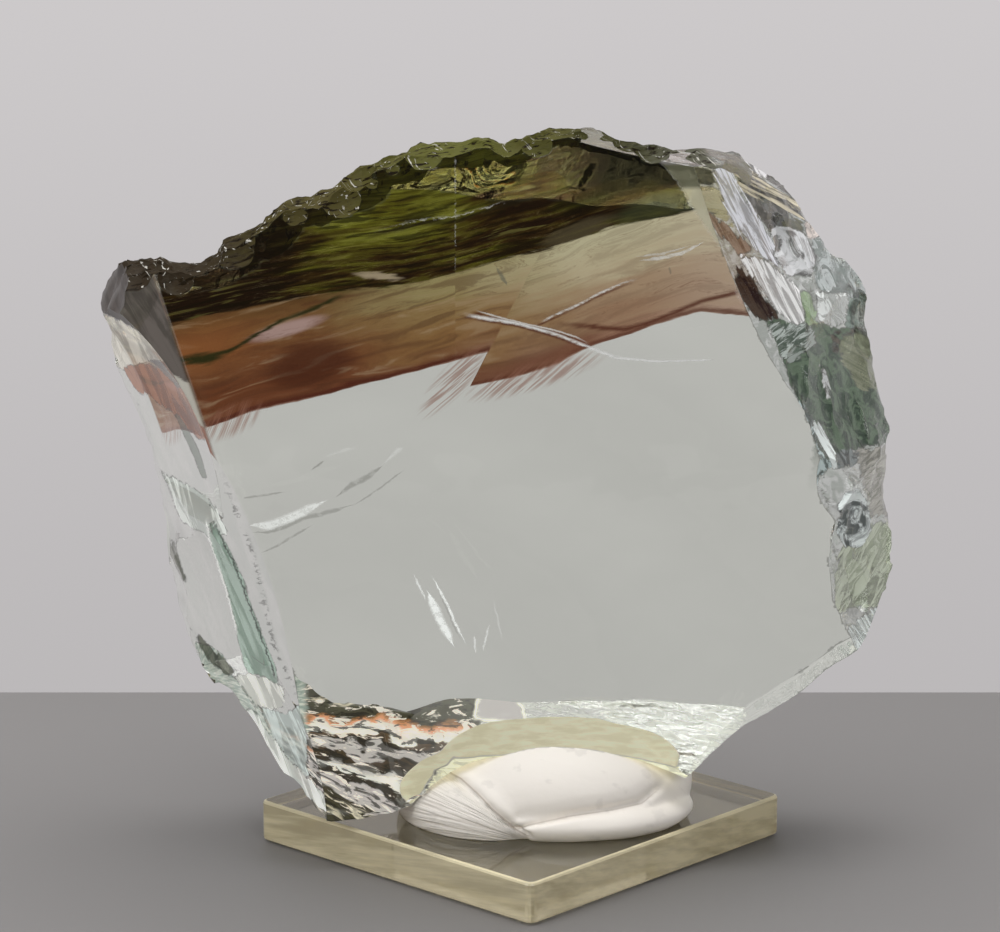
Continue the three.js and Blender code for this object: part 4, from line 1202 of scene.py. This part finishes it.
def layer_colour(s):
    """The tint that light takes at the surface, from the layers that meet it there."""
    at = layers_at(s)
    in_olive = s.rise(at.olive + at.fine * 0.9 + at.wave * 0.5, -0.12, 0.22)
    colour = s.mix(in_olive, warm_layers(s, at), olive_layer(s, at))
    colour = s.mix(s.rise(at.low + at.fine * 0.25, -0.05, 0.12), CLEAR, colour)
    return s.mix(fringes(s, at) * 0.65, colour, (0.42, 0.2, 0.13))


def edge_shade(s, colour):
    """A tint, darkened along the glass's own sharp edges: painted shade, for the dark lines
    that the edges show.
    """
    x, _, olive = s.attribute("layers")
    edge = s.rise(s.ridge() + fine_grain(s, x, olive) * 0.6, 0.62, 0.86)
    return s.mix(edge * 0.75, colour, (0.1, 0.11, 0.09))


def pale_lines(s, faint):
    """Where ledges and cracks on the broad face catch the light."""
    x, z, olive = s.attribute("layers")
    y = s.attribute("edges")[2]
    ledge, lip, branch = s.attribute("lines")
    bright = s.attribute("streaks")[2]
    fine = unevenness(s, x, z)
    thick = s.rise(x, 23, 5, 0.12, 0.34)
    shelf = s.stripe((ledge + fine * 0.25) / thick, 1.0) * s.rise(x, -7, -5)
    shelf = shelf * s.rise(x, 22.6, 21) * s.rise(fine, -0.2, 0.05, 0.45, 0.95)
    upper = s.stripe(lip + fine * 0.2, 0.16) * s.rise(x, -5.6, -4) * s.rise(x, 8, 6)
    twig = s.stripe(branch + fine * 0.3, 0.24) * s.rise(x, 2, 3.5) * s.rise(x, 13.6, 11)
    twig = twig * s.rise(fine, -0.15, 0.1, 0.2, 1.0)
    top = s.stripe(bright + fine * 0.9, 0.16) * s.rise(x, -19, -9) * s.rise(x, -1.6, -3)
    top = top * s.rise(fine, -0.1, 0.1, 0.2, 1.0)
    speckled = s.noise(s.vector(x * 0.3, z * 1.6), 5.0, 0.7)
    seam = s.stripe(x + SEAM + fine * 0.5, 0.14) * s.rise(olive, 0, 2)
    seam = seam * s.rise(speckled, 0.42, 0.6) * 0.26
    return s.largest(shelf, upper * 0.7, twig * 0.8, top * 0.45, seam, faint) * on_face(s, y)


def grains(s, x, z):
    """The streaks that the patches name."""
    return {
        "feather": s.streaks(x, z, (0.478, -0.878), (0.2, 2.3), 5.0, 0.5),
        "slash": s.streaks(x, z, (0.855, -0.52), (0.15, 2.0), 4.0, 0.3),
        "level": s.streaks(x, z, (0.99, -0.14), (0.15, 1.3), 4.0, 0.2),
        "hackle": s.streaks(x, z, (0.8, 0.6), (0.6, 2.0), 4.0, 0.6),
        "swirl": s.streaks(x, z, (0.35, -0.94), (0.45, 0.95), 5.0, 1.1),
        "eddy": s.streaks(x, z, (0.6, -0.8), (0.2, 0.3), 5.0, 1.9),
        "fold": s.streaks(x, z, (0.36, -0.93), (0.12, 1.0), 4.0, 0.4),
        "ripple": s.streaks(x, z, (0.98, -0.2), (0.35, 1.5), 5.0, 0.8),
        "rays": s.streaks(x, z, (0.5, 0.86), (0.3, 1.1), 4.0, 1.2),
    }


def patchwork(s, side):
    """The tint, the share of white and the white's colour that a side's patches give."""
    x, z, _ = s.attribute("layers")
    grain_of = grains(s, x, z)
    patches = PATCHES[side][1]
    fields = []
    for n in range(0, len(patches), 3):
        fields += s.attribute(f"{side} {n // 3}")
    tint, white, colour = CLEAR, 0.0, (0.8, 0.8, 0.8)
    rims = 0.0
    for field, (_, grain, tints, (low, high), own, _) in zip(fields, patches):
        field = field + (grain_of[grain] - 0.5) * 1.4
        here = s.rise(field, -0.08, 0.1)
        rims = s.largest(rims - here, s.stripe(field, 0.2))
        streak = s.rise(grain_of[grain], 0.42, 0.59)
        tint = s.mix(here, tint, s.mix(streak, *tints))
        white = white + (low + (high - low) * streak - white) * here
        dull = tuple(c * 0.7 for c in own)
        colour = s.mix(here, colour, s.mix(streak, dull, own))
    rims = s.clamp(rims) * s.rise(grain_of["hackle"], 0.38, 0.55)
    return s.mix(rims * 0.8, tint, (0.03, 0.035, 0.028)), white * (1 - rims), colour


def banded_face(s):
    """The broad face with its layers, and the ends of it that lie past its edges."""
    x, z, _ = s.attribute("layers")
    y = s.attribute("edges")[2]
    fine = unevenness(s, x, z)
    # painted shade and painted highlights along the cracks in the band
    dark, pale = cracks(s, x, z, fine, CRACKS_IN_BAND)
    past, tint, cover = ends(s, x, z, fine)
    colour = s.mix(dark * on_face(s, y), layer_colour(s), (0.14, 0.15, 0.12))
    colour = edge_shade(s, s.mix(past, colour, tint))
    milk = s.node("ShaderNodeMix", {"data_type": "RGBA", "blend_type": "MULTIPLY"}, 2, Factor=1.0,
                  i6=tint, i7=DIMMED)
    white = s.largest(pale_lines(s, pale), cover * 0.7)
    return colour, white, s.mix(s.rise(cover, 0.0, 0.5), GREY_MILK, milk)


def clear_face(s):
    return CLEAR, 0.0, CLEAR


def cracked_face(s):
    x, z, _ = s.attribute("layers")
    # painted shade and painted highlights along the fine cracks
    dark, pale = cracks(s, x, z, unevenness(s, x, z), CRACKS)
    return s.mix(dark, CLEAR, (0.3, 0.31, 0.27)), pale, (0.85, 0.88, 0.85)


def torn_crest(s):
    """Nearly opaque: dark to the left, olive in the middle and murky to the right, with
    painted glints: pale specks on its front that stand in for highlights.
    """
    x, z, olive = s.attribute("layers")
    _, shoulder, y = s.attribute("edges")
    rough = s.streaks(x, z + y * 0.4, (0.96, 0.27), (0.5, 1.8), 6.0)
    speck = s.streaks(x + y, z - y, (0.9, 0.4), (1.1, 2.2), 4.0)
    body = s.ramp(x + (rough - 0.5) * 16, CREST_TONES)
    dark = s.mix(s.rise(rough, 0.46, 0.36), body, (0.006, 0.004, 0.002))
    # painted highlights: pale specks on the front, as glints
    dark = s.mix(s.rise(speck, 0.64, 0.7) * s.rise(y, -1, -5), dark, (0.34, 0.33, 0.3))
    past, tint, _ = ends(s, x, z, rough - 0.5)
    cover = s.rise(olive, -1, 2) * s.rise(shoulder, 6.5, 5.5) * 0.93
    behind = s.rise(y, 5, 8) * s.rise(x + (rough - 0.5) * 24, -31, -35)
    return edge_shade(s, s.mix(past, (0.1, 0.09, 0.03), tint)), cover * (1 - behind), dark


def side_facets(s, side):
    """A side's patches on its near part; the far part is clear."""
    tint, white, colour = patchwork(s, side)
    y = s.attribute("edges")[2]
    deep, fade = NEAR_DEPTH[side], NEAR_DEPTH["fade"]
    near = s.rise(y, deep + fade, deep - fade)
    # painted shade along the side's sharp edges
    edge = s.rise(s.ridge(), 0.75, 0.95) * 0.6
    return s.mix(near, CLEAR, s.mix(edge, tint, (0.12, 0.13, 0.11))), white * near, colour


def left_facets(s):
    """The left side's patches, with the lines that edge its sliver and its bevel."""
    tint, white, colour = side_facets(s, "left")
    x, z, _ = s.attribute("layers")
    fine = unevenness(s, x, z, 1.6, 0.7)
    dark = s.stripe(x - s.line(z, SLIVER_DARK) + fine * 0.9, 0.24)
    dark = dark * s.rise(z, 22, 24) * s.rise(z, 42.5, 41)
    speck = s.stripe(x - s.line(z, BEVEL_EDGE) + 0.5 + fine * 2.4, 0.5)
    speck = speck * s.rise(fine, -0.02, 0.06) * s.rise(z, 50, 44) * s.rise(z, 20, 24)
    pale = s.stripe(x - s.line(z, SLIVER_PALE) + fine * 0.7, 0.28)
    pale = pale * s.rise(z, 27, 30) * s.rise(z, 43.4, 42)
    tint = s.mix(s.largest(dark, speck * 0.8), tint, (0.012, 0.014, 0.012))
    colour = s.mix(pale, colour, (0.95, 0.96, 0.92))
    return tint, s.largest(white * (1 - dark), pale * 0.85), colour


def chipped_side(s):
    return side_facets(s, "right")


def underside(s):
    """Clear and pale to the right, and dark and white ridges that fan out from the left; the
    white is painted highlight.
    """
    tint, white, colour = patchwork(s, "under")
    x, z, _ = s.attribute("layers")
    from_left = x + 26
    height = (z + from_left * 1.21) / (1 + from_left * 0.06)
    wave = s.streaks(x, height, (1, 0), (0.22, 0.35), 2.0)
    fine = s.streaks(x, height, (1, 0), (0.35, 1.7), 5.0, 0.4)
    height = height + (wave - 0.5) * 3.2 + (fine - 0.5) * 1.1
    ridges = s.ramp(height, RIDGE_TONES)
    ridges = s.mix(s.rise(fine, 0.46, 0.4) * 0.85, ridges, (0.01, 0.007, 0.003))
    # painted highlights: bright streaks along the ridges
    ridges = s.mix(s.rise(fine, 0.57, 0.62) * 0.85, ridges, (0.95, 0.86, 0.78))
    zone = s.rise(x + (fine - 0.5) * 3, -3.2, -5.4)
    pressed = s.attribute("under 0")[1]
    zone = zone * s.rise(pressed + (fine - 0.5) * 2, 0.3, -0.3)
    white = white + (0.92 - white) * zone
    colour = s.mix(zone, colour, ridges)
    heel = s.rise(x + (fine - 0.5) * 2, -25, -26)
    colour = s.mix(heel, colour, s.mix(s.rise(fine, 0.4, 0.6), (0.4, 0.5, 0.45), (0.8, 0.84, 0.78)))
    white = white + (0.6 - white) * heel
    tint = s.mix(zone * (1 - heel), tint, (0.3, 0.27, 0.2))
    hump = s.attribute("hump")[0]
    lip = s.stripe(hump + (fine - 0.5) * 0.8 - 0.3, 0.42)
    inner = s.rise(hump, 0.4, 0.6)
    colour = s.mix(inner, colour, (0.5, 0.46, 0.46))
    colour = s.mix(lip, colour, (0.9, 0.87, 0.78))
    return tint, s.largest(white, lip, inner * 0.8), colour


def glass_material(name, paint, roughness=0.0, chips=0.0, painted_glow=0.0, gloss=0.2):
    """Glass with a tint and milky marks.

    chips is how deep its finest chipping is, in mm, and glow how strongly its milky marks shine:
    painted light, an emission in place of the light that the glass around a mark gathers onto it.
    """
    s = Shader(bpy.data.materials.new(name))
    tint, white, colour = paint(s)
    s.finish(Transmission_Weight=1, IOR=1.5, Roughness=roughness, Base_Color=tint)
    if chips:
        x, y, z = s.place()
        fine = s.noise(s.vector(x * 0.45, y * 0.7, z * 1.3), 4.0, 0.6, space="3D")
        s.finish(Normal=s.bump(fine, chips))
    s.coat(white, Base_Color=colour, Roughness=0.4, Specular_IOR_Level=gloss,
           Emission_Color=colour, Emission_Strength=painted_glow)
    return s.owner


def plate_material(name, tint, painted_bloom, bright):
    """Clear acrylic with a faint milkiness, brighter in streaks: painted light, in place of
    the light that the plate carries out to its sides and edges.
    """
    s = Shader(bpy.data.materials.new(name))
    s.finish(Transmission_Weight=1, IOR=1.49, Roughness=0.03, Base_Color=tint)
    x, y, z = s.place()
    cloud = s.noise(s.vector(x * 0.09 + y * 0.04, z * 0.4 + y * 0.09), 4.0, 0.6)
    s.coat(s.rise(cloud, 0.36, 0.68, painted_bloom, bright), Base_Color=(0.86, 0.77, 0.52), Roughness=0.35)
    return s.owner


# ---- the chunk ---------------------------------------------------------------------------------

# The glow that each finish is given is painted light: its milky marks shine by emission.
crystal = chunk([
    glass_material("banded_face", banded_face),
    glass_material("torn_crest", torn_crest, roughness=0.08, chips=0.5, painted_glow=1.0, gloss=0.0),
    glass_material("left_facets", left_facets, painted_glow=0.3),
    glass_material("chipped_side", chipped_side, roughness=0.02, chips=0.25, painted_glow=0.14),
    glass_material("underside", underside, roughness=0.02, chips=0.2, painted_glow=0.6),
    glass_material("clear_face", clear_face),
    glass_material("cracked_face", cracked_face, painted_glow=0.35),
])
mark_layers(crystal.data)
mark_patches(crystal.data)
mark_clear(crystal.data)
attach(crystal, "root")
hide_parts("crystal")

# ---- the plate ---------------------------------------------------------------------------------

PLATE = {"side": 45, "thickness": 5, "turn": 46.9, "corner": 1.0, "edge": 0.35}


def rounded(bm, edges, radius, steps):
    """The faces that round off some edges."""
    return bmesh.ops.bevel(bm, geom=edges, offset=radius, offset_type="OFFSET", segments=steps,
                           profile=0.5, affect="EDGES", material=-1)["faces"]


def plate():
    """A square plate with rounded corners and polished edges, whose foot is at z = 0."""
    bm = bmesh.new()
    bmesh.ops.create_cube(bm, size=1)
    stretch(bm, (PLATE["side"], PLATE["side"], PLATE["thickness"]))
    upright = [e for e in bm.edges if abs((e.verts[0].co - e.verts[1].co).z) > 1]
    rounded(bm, upright, PLATE["corner"], 4)
    for face in bm.faces:
        face.material_index = 0 if abs(face.normal.z) > 0.5 else 1
    rims = [e for e in bm.edges if abs((e.verts[0].co - e.verts[1].co).z) < 1]
    for face in rounded(bm, rims, PLATE["edge"], 2):
        face.material_index = 2
    move(bm, (0, 0, PLATE["thickness"] / 2))
    turn(bm, math.radians(PLATE["turn"]))
    stretch(bm, (MM, MM, MM))
    # The sides and edges are milkier: painted light, for the light the plate carries to them.
    return piece("base_plate_clear", bm, [
        plate_material("plate_face", (0.93, 0.875, 0.7), 0.02, 0.07),
        plate_material("plate_side", (0.95, 0.86, 0.6), 0.32, 0.65),
        plate_material("plate_edge", (0.95, 0.86, 0.6), 0.6, 0.9)])


base = plate()
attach(base, "root")
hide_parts("base_plate")

# ---- the tack ----------------------------------------------------------------------------------

# Where the tack is folded, as it shows from the front: the crease, and the edge of the rolled lip.
CREASE = [(-9.6, 12.4), (-7.2, 11), (-5.3, 9.2), (-3.3, 7), (-0.6, 4.6), (0.6, 3.9)]
LIP = [(-0.6, 4.6), (1, 5.2), (5.8, 6.3), (11, 7.1), (14.4, 7.9), (16.6, 9.9)]
TACK_WHITE = (0.93, 0.88, 0.81)

# Its lobes' middles, radii and turns in degrees, and how deep the glass is pressed into it.
PAD_LOBES = [((4.6, -3.4, 8.6), (16.2, 13.6, 9.0), 0), ((-2.8, -4.6, 6.8), (12.2, 12.4, 7.4), 12),
             ((6.2, -8.2, 6.6), (14.6, 9.8, 3.6), 5)]
PRESSED = 0.12
FOOT = PLATE["thickness"] + 0.02  # the tack's underside

# How deep and wide the crease and the lip's edge are pressed in, and how much lower the tack lies
# below the one and above the other, and how soon that ends.
FOLDS = {"crease": (0.7, 0.4), "lip": (0.5, 0.35), "below": (0.7, 0.9), "above": (0.5, 1.2)}


def lobe(at, radii, degrees):
    """One soft lobe of the lump."""
    bm = bmesh.new()
    bmesh.ops.create_icosphere(bm, subdivisions=6, radius=1)
    stretch(bm, radii)
    for v in bm.verts:
        v.co += v.co.normalized() * 0.25 * noise.fractal(v.co * 0.12 + Vector(at), 1.0, 2, 2)
    turn(bm, math.radians(degrees))
    move(bm, at)
    return piece("lobe", bm)


def from_front(p):
    """Where a point shows from the front, on the plane of the broad face."""
    face = FACES["front"]["at"][1]
    return (EYE + (p - EYE) * ((face - EYE.y) / (p.y - EYE.y))).xz


def groove(off, deep, half):
    return deep * math.exp(-(off / half) ** 2)


def ledge_down(off, deep, fade):
    return deep * math.exp(-off * fade)


def fold(bm):
    """Presses in the crease and the edge of the lip, and lets the lower left lobe lie lower."""
    bm.normal_update()
    for v in bm.verts:
        if v.normal.y > 0.2:
            continue
        x, z = from_front(v.co)
        crease, lip = off_line(CREASE, x, z), off_line(LIP, x, z)
        depth = groove(crease, *FOLDS["crease"]) + groove(lip, *FOLDS["lip"])
        if crease < 0 and x < 1:
            depth += ledge_down(-crease, *FOLDS["below"])
        if 0 < lip < 2 and x > -1:
            depth += ledge_down(lip, *FOLDS["above"])
        v.co -= v.normal * depth
    smooth(bm)


def mark_folds(mesh):
    """How far above the crease and the lip each point shows, and along which wrinkle it lies."""
    rows = []
    for v in mesh.vertices:
        x, z = from_front(v.co / MM)
        fan = (z - 2.8) / max(0.5, 1.8 - x)
        rows.append((off_line(CREASE, x, z), off_line(LIP, x, z), fan))
    mark(mesh, "folds", rows)


def tack_material():
    """White mineral tack: wrinkled below the crease, and faintly handled all over, with
    painted shade in its wrinkles and along the crease and the lip's edge.
    """
    s = Shader(bpy.data.materials.new("mineral_tack"))
    x, y, z = s.place()
    crease, lip, fan = s.attribute("folds")
    front = s.rise(y, 0, -4)
    below = s.rise(crease, 0.0, -0.3) * s.rise(x, 1, -1) * front
    wrinkle = s.noise(s.vector(x * 0.12, fan * 21), 4.0, 0.5)
    rub = s.noise(s.vector(x * 0.35, z * 0.35 + y * 0.3), 4.0, 0.5)
    line = s.stripe(crease, 0.2) * s.rise(x, 1.5, 0.5) * front
    rolled = s.stripe(lip, 0.16) * s.rise(x, -1.5, 0.5) * s.rise(x, 17, 15) * front * 0.6
    # painted shade in the wrinkles below the crease
    shade = s.mix(s.rise(wrinkle, 0.5, 0.42) * below * 0.25, TACK_WHITE, (0.62, 0.55, 0.48))
    shade = s.mix(s.rise(rub, 0.62, 0.72) * 0.3, shade, (0.66, 0.62, 0.57))
    # painted shade along the crease and along the edge of the rolled lip
    shade = s.mix(s.largest(line, rolled) * 0.65, shade, (0.36, 0.28, 0.22))
    height = wrinkle * below * 0.7 + rub * 0.1
    s.finish(Base_Color=shade, Roughness=0.55, Normal=s.bump(height, 0.6))
    return s.owner


def pressed_light_material():
    """Tack wetted against the glass; it shines by emission, painted light in place of the
    light that the glass gathers onto it.
    """
    s = Shader(bpy.data.materials.new("pressed_tack_painted_light"))
    x, y, z = s.place()
    mottle = s.noise(s.vector(x * 0.3, y * 0.3 + z), 4.0, 0.6)
    shade = s.mix(s.rise(mottle, 0.35, 0.65), (0.78, 0.71, 0.5), (0.9, 0.84, 0.64))
    # painted light: an emission that brightens the pressed tack
    s.finish(Base_Color=shade, Roughness=0.5, Emission_Color=shade, Emission_Strength=0.26)
    return s.owner


def seat(glass):
    """The glass, raised by less than the tack is pressed, and with the pressed finish on it."""
    over = placed("seat", glass.data.copy())
    over.data.transform(Matrix.Translation((0, 0, PRESSED * MM)))
    over.data.polygons.foreach_set("material_index", [1] * len(over.data.polygons))
    return over


def tack(glass):
    """A pressed lump of tack, flat under the glass that sits in it."""
    lump, *others = [lobe(*parts) for parts in PAD_LOBES]
    bm = opened(combined(lump, "UNION", others))
    for _ in range(10):
        smooth(bm)
    fold(bm)
    for v in bm.verts:
        v.co.z = max(v.co.z, FOOT)
    stretch(bm, (MM, MM, MM))
    uncut = piece("tack_lump", bm, [tack_material(), pressed_light_material()])
    mesh = combined(uncut, "DIFFERENCE", [seat(glass)])
    for face in mesh.polygons:
        face.use_smooth = True
    mark_folds(mesh)
    return placed("tack_pad", mesh)


pad = tack(crystal)
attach(pad, "root")
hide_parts("putty_pad")

# ---- stage, light and camera -------------------------------------------------------------------

FLOOR = {"size": (900, 420, 20), "back": 61, "gap": 0.2}

# Lamps: their place, their width and height, and their power in watts. All point at AIM.
LAMPS = {
    "top": ((0, 50, 550), (500, 500), 3.2),
    "left": ((-500, -350, 350), (250, 500), 1.6),
    "front": ((300, -750, 400), (400, 300), 2.2),
}
AIM = Vector((0, 0, 45))


def plain_floor():
    """A thick sheet whose top lies just under the plate."""
    s = Shader(bpy.data.materials.new("floor"))
    s.finish(Base_Color=(0.18, 0.173, 0.17), Roughness=0.6)
    _, deep, thick = FLOOR["size"]
    bm = bmesh.new()
    bmesh.ops.create_cube(bm, size=1)
    stretch(bm, FLOOR["size"])
    move(bm, (0, FLOOR["back"] - deep / 2, -FLOOR["gap"] - thick / 2))
    stretch(bm, (MM, MM, MM))
    return piece("floor", bm, [s.owner])


def studio():
    """A pale backdrop, darker on the eye's side and a little darker below."""
    world = bpy.data.worlds.new("studio")
    s = Shader(world, "Background")
    _, y, z = s.split(s.node("ShaderNodeTexCoord", {}, "Generated"))
    power = s.rise(y, -0.35, 0.35, 0.06, 0.62) * s.rise(z, -0.32, -0.08, 0.8, 1.0)
    s.finish(Color=(1.0, 0.965, 0.975), Strength=power)
    return world


def lamp(name, at, size, power):
    """A soft lamp that lights the scene without showing in it."""
    light = bpy.data.lights.new(name, "AREA")
    light.shape = "RECTANGLE"
    light.size = size[0] * MM
    light.size_y = size[1] * MM
    light.energy = power
    obj = placed(name, light)
    obj.visible_camera = False
    obj.location = Vector(at) * MM
    obj.rotation_euler = (AIM - Vector(at)).to_track_quat("-Z", "Y").to_euler()


def camera():
    """The camera, at the eye."""
    lens = bpy.data.cameras.new("camera")
    lens.lens = LENS["length"]
    lens.sensor_width = LENS["sensor"]
    lens.clip_start = LENS["nearest"] * MM
    eye = placed("camera", lens)
    eye.location = EYE * MM
    eye.rotation_euler = (math.radians(90 - LOOK_DOWN), 0, 0)
    return eye


plain_floor()
for name, settings in LAMPS.items():
    lamp(name, *settings)

scene = bpy.context.scene
scene.world = studio()
scene.camera = camera()
scene.view_settings.view_transform = "Standard"
scene.cycles.max_bounces = 14
scene.cycles.transmission_bounces = 14
scene.cycles.glossy_bounces = 8
scene.cycles.use_denoising = True
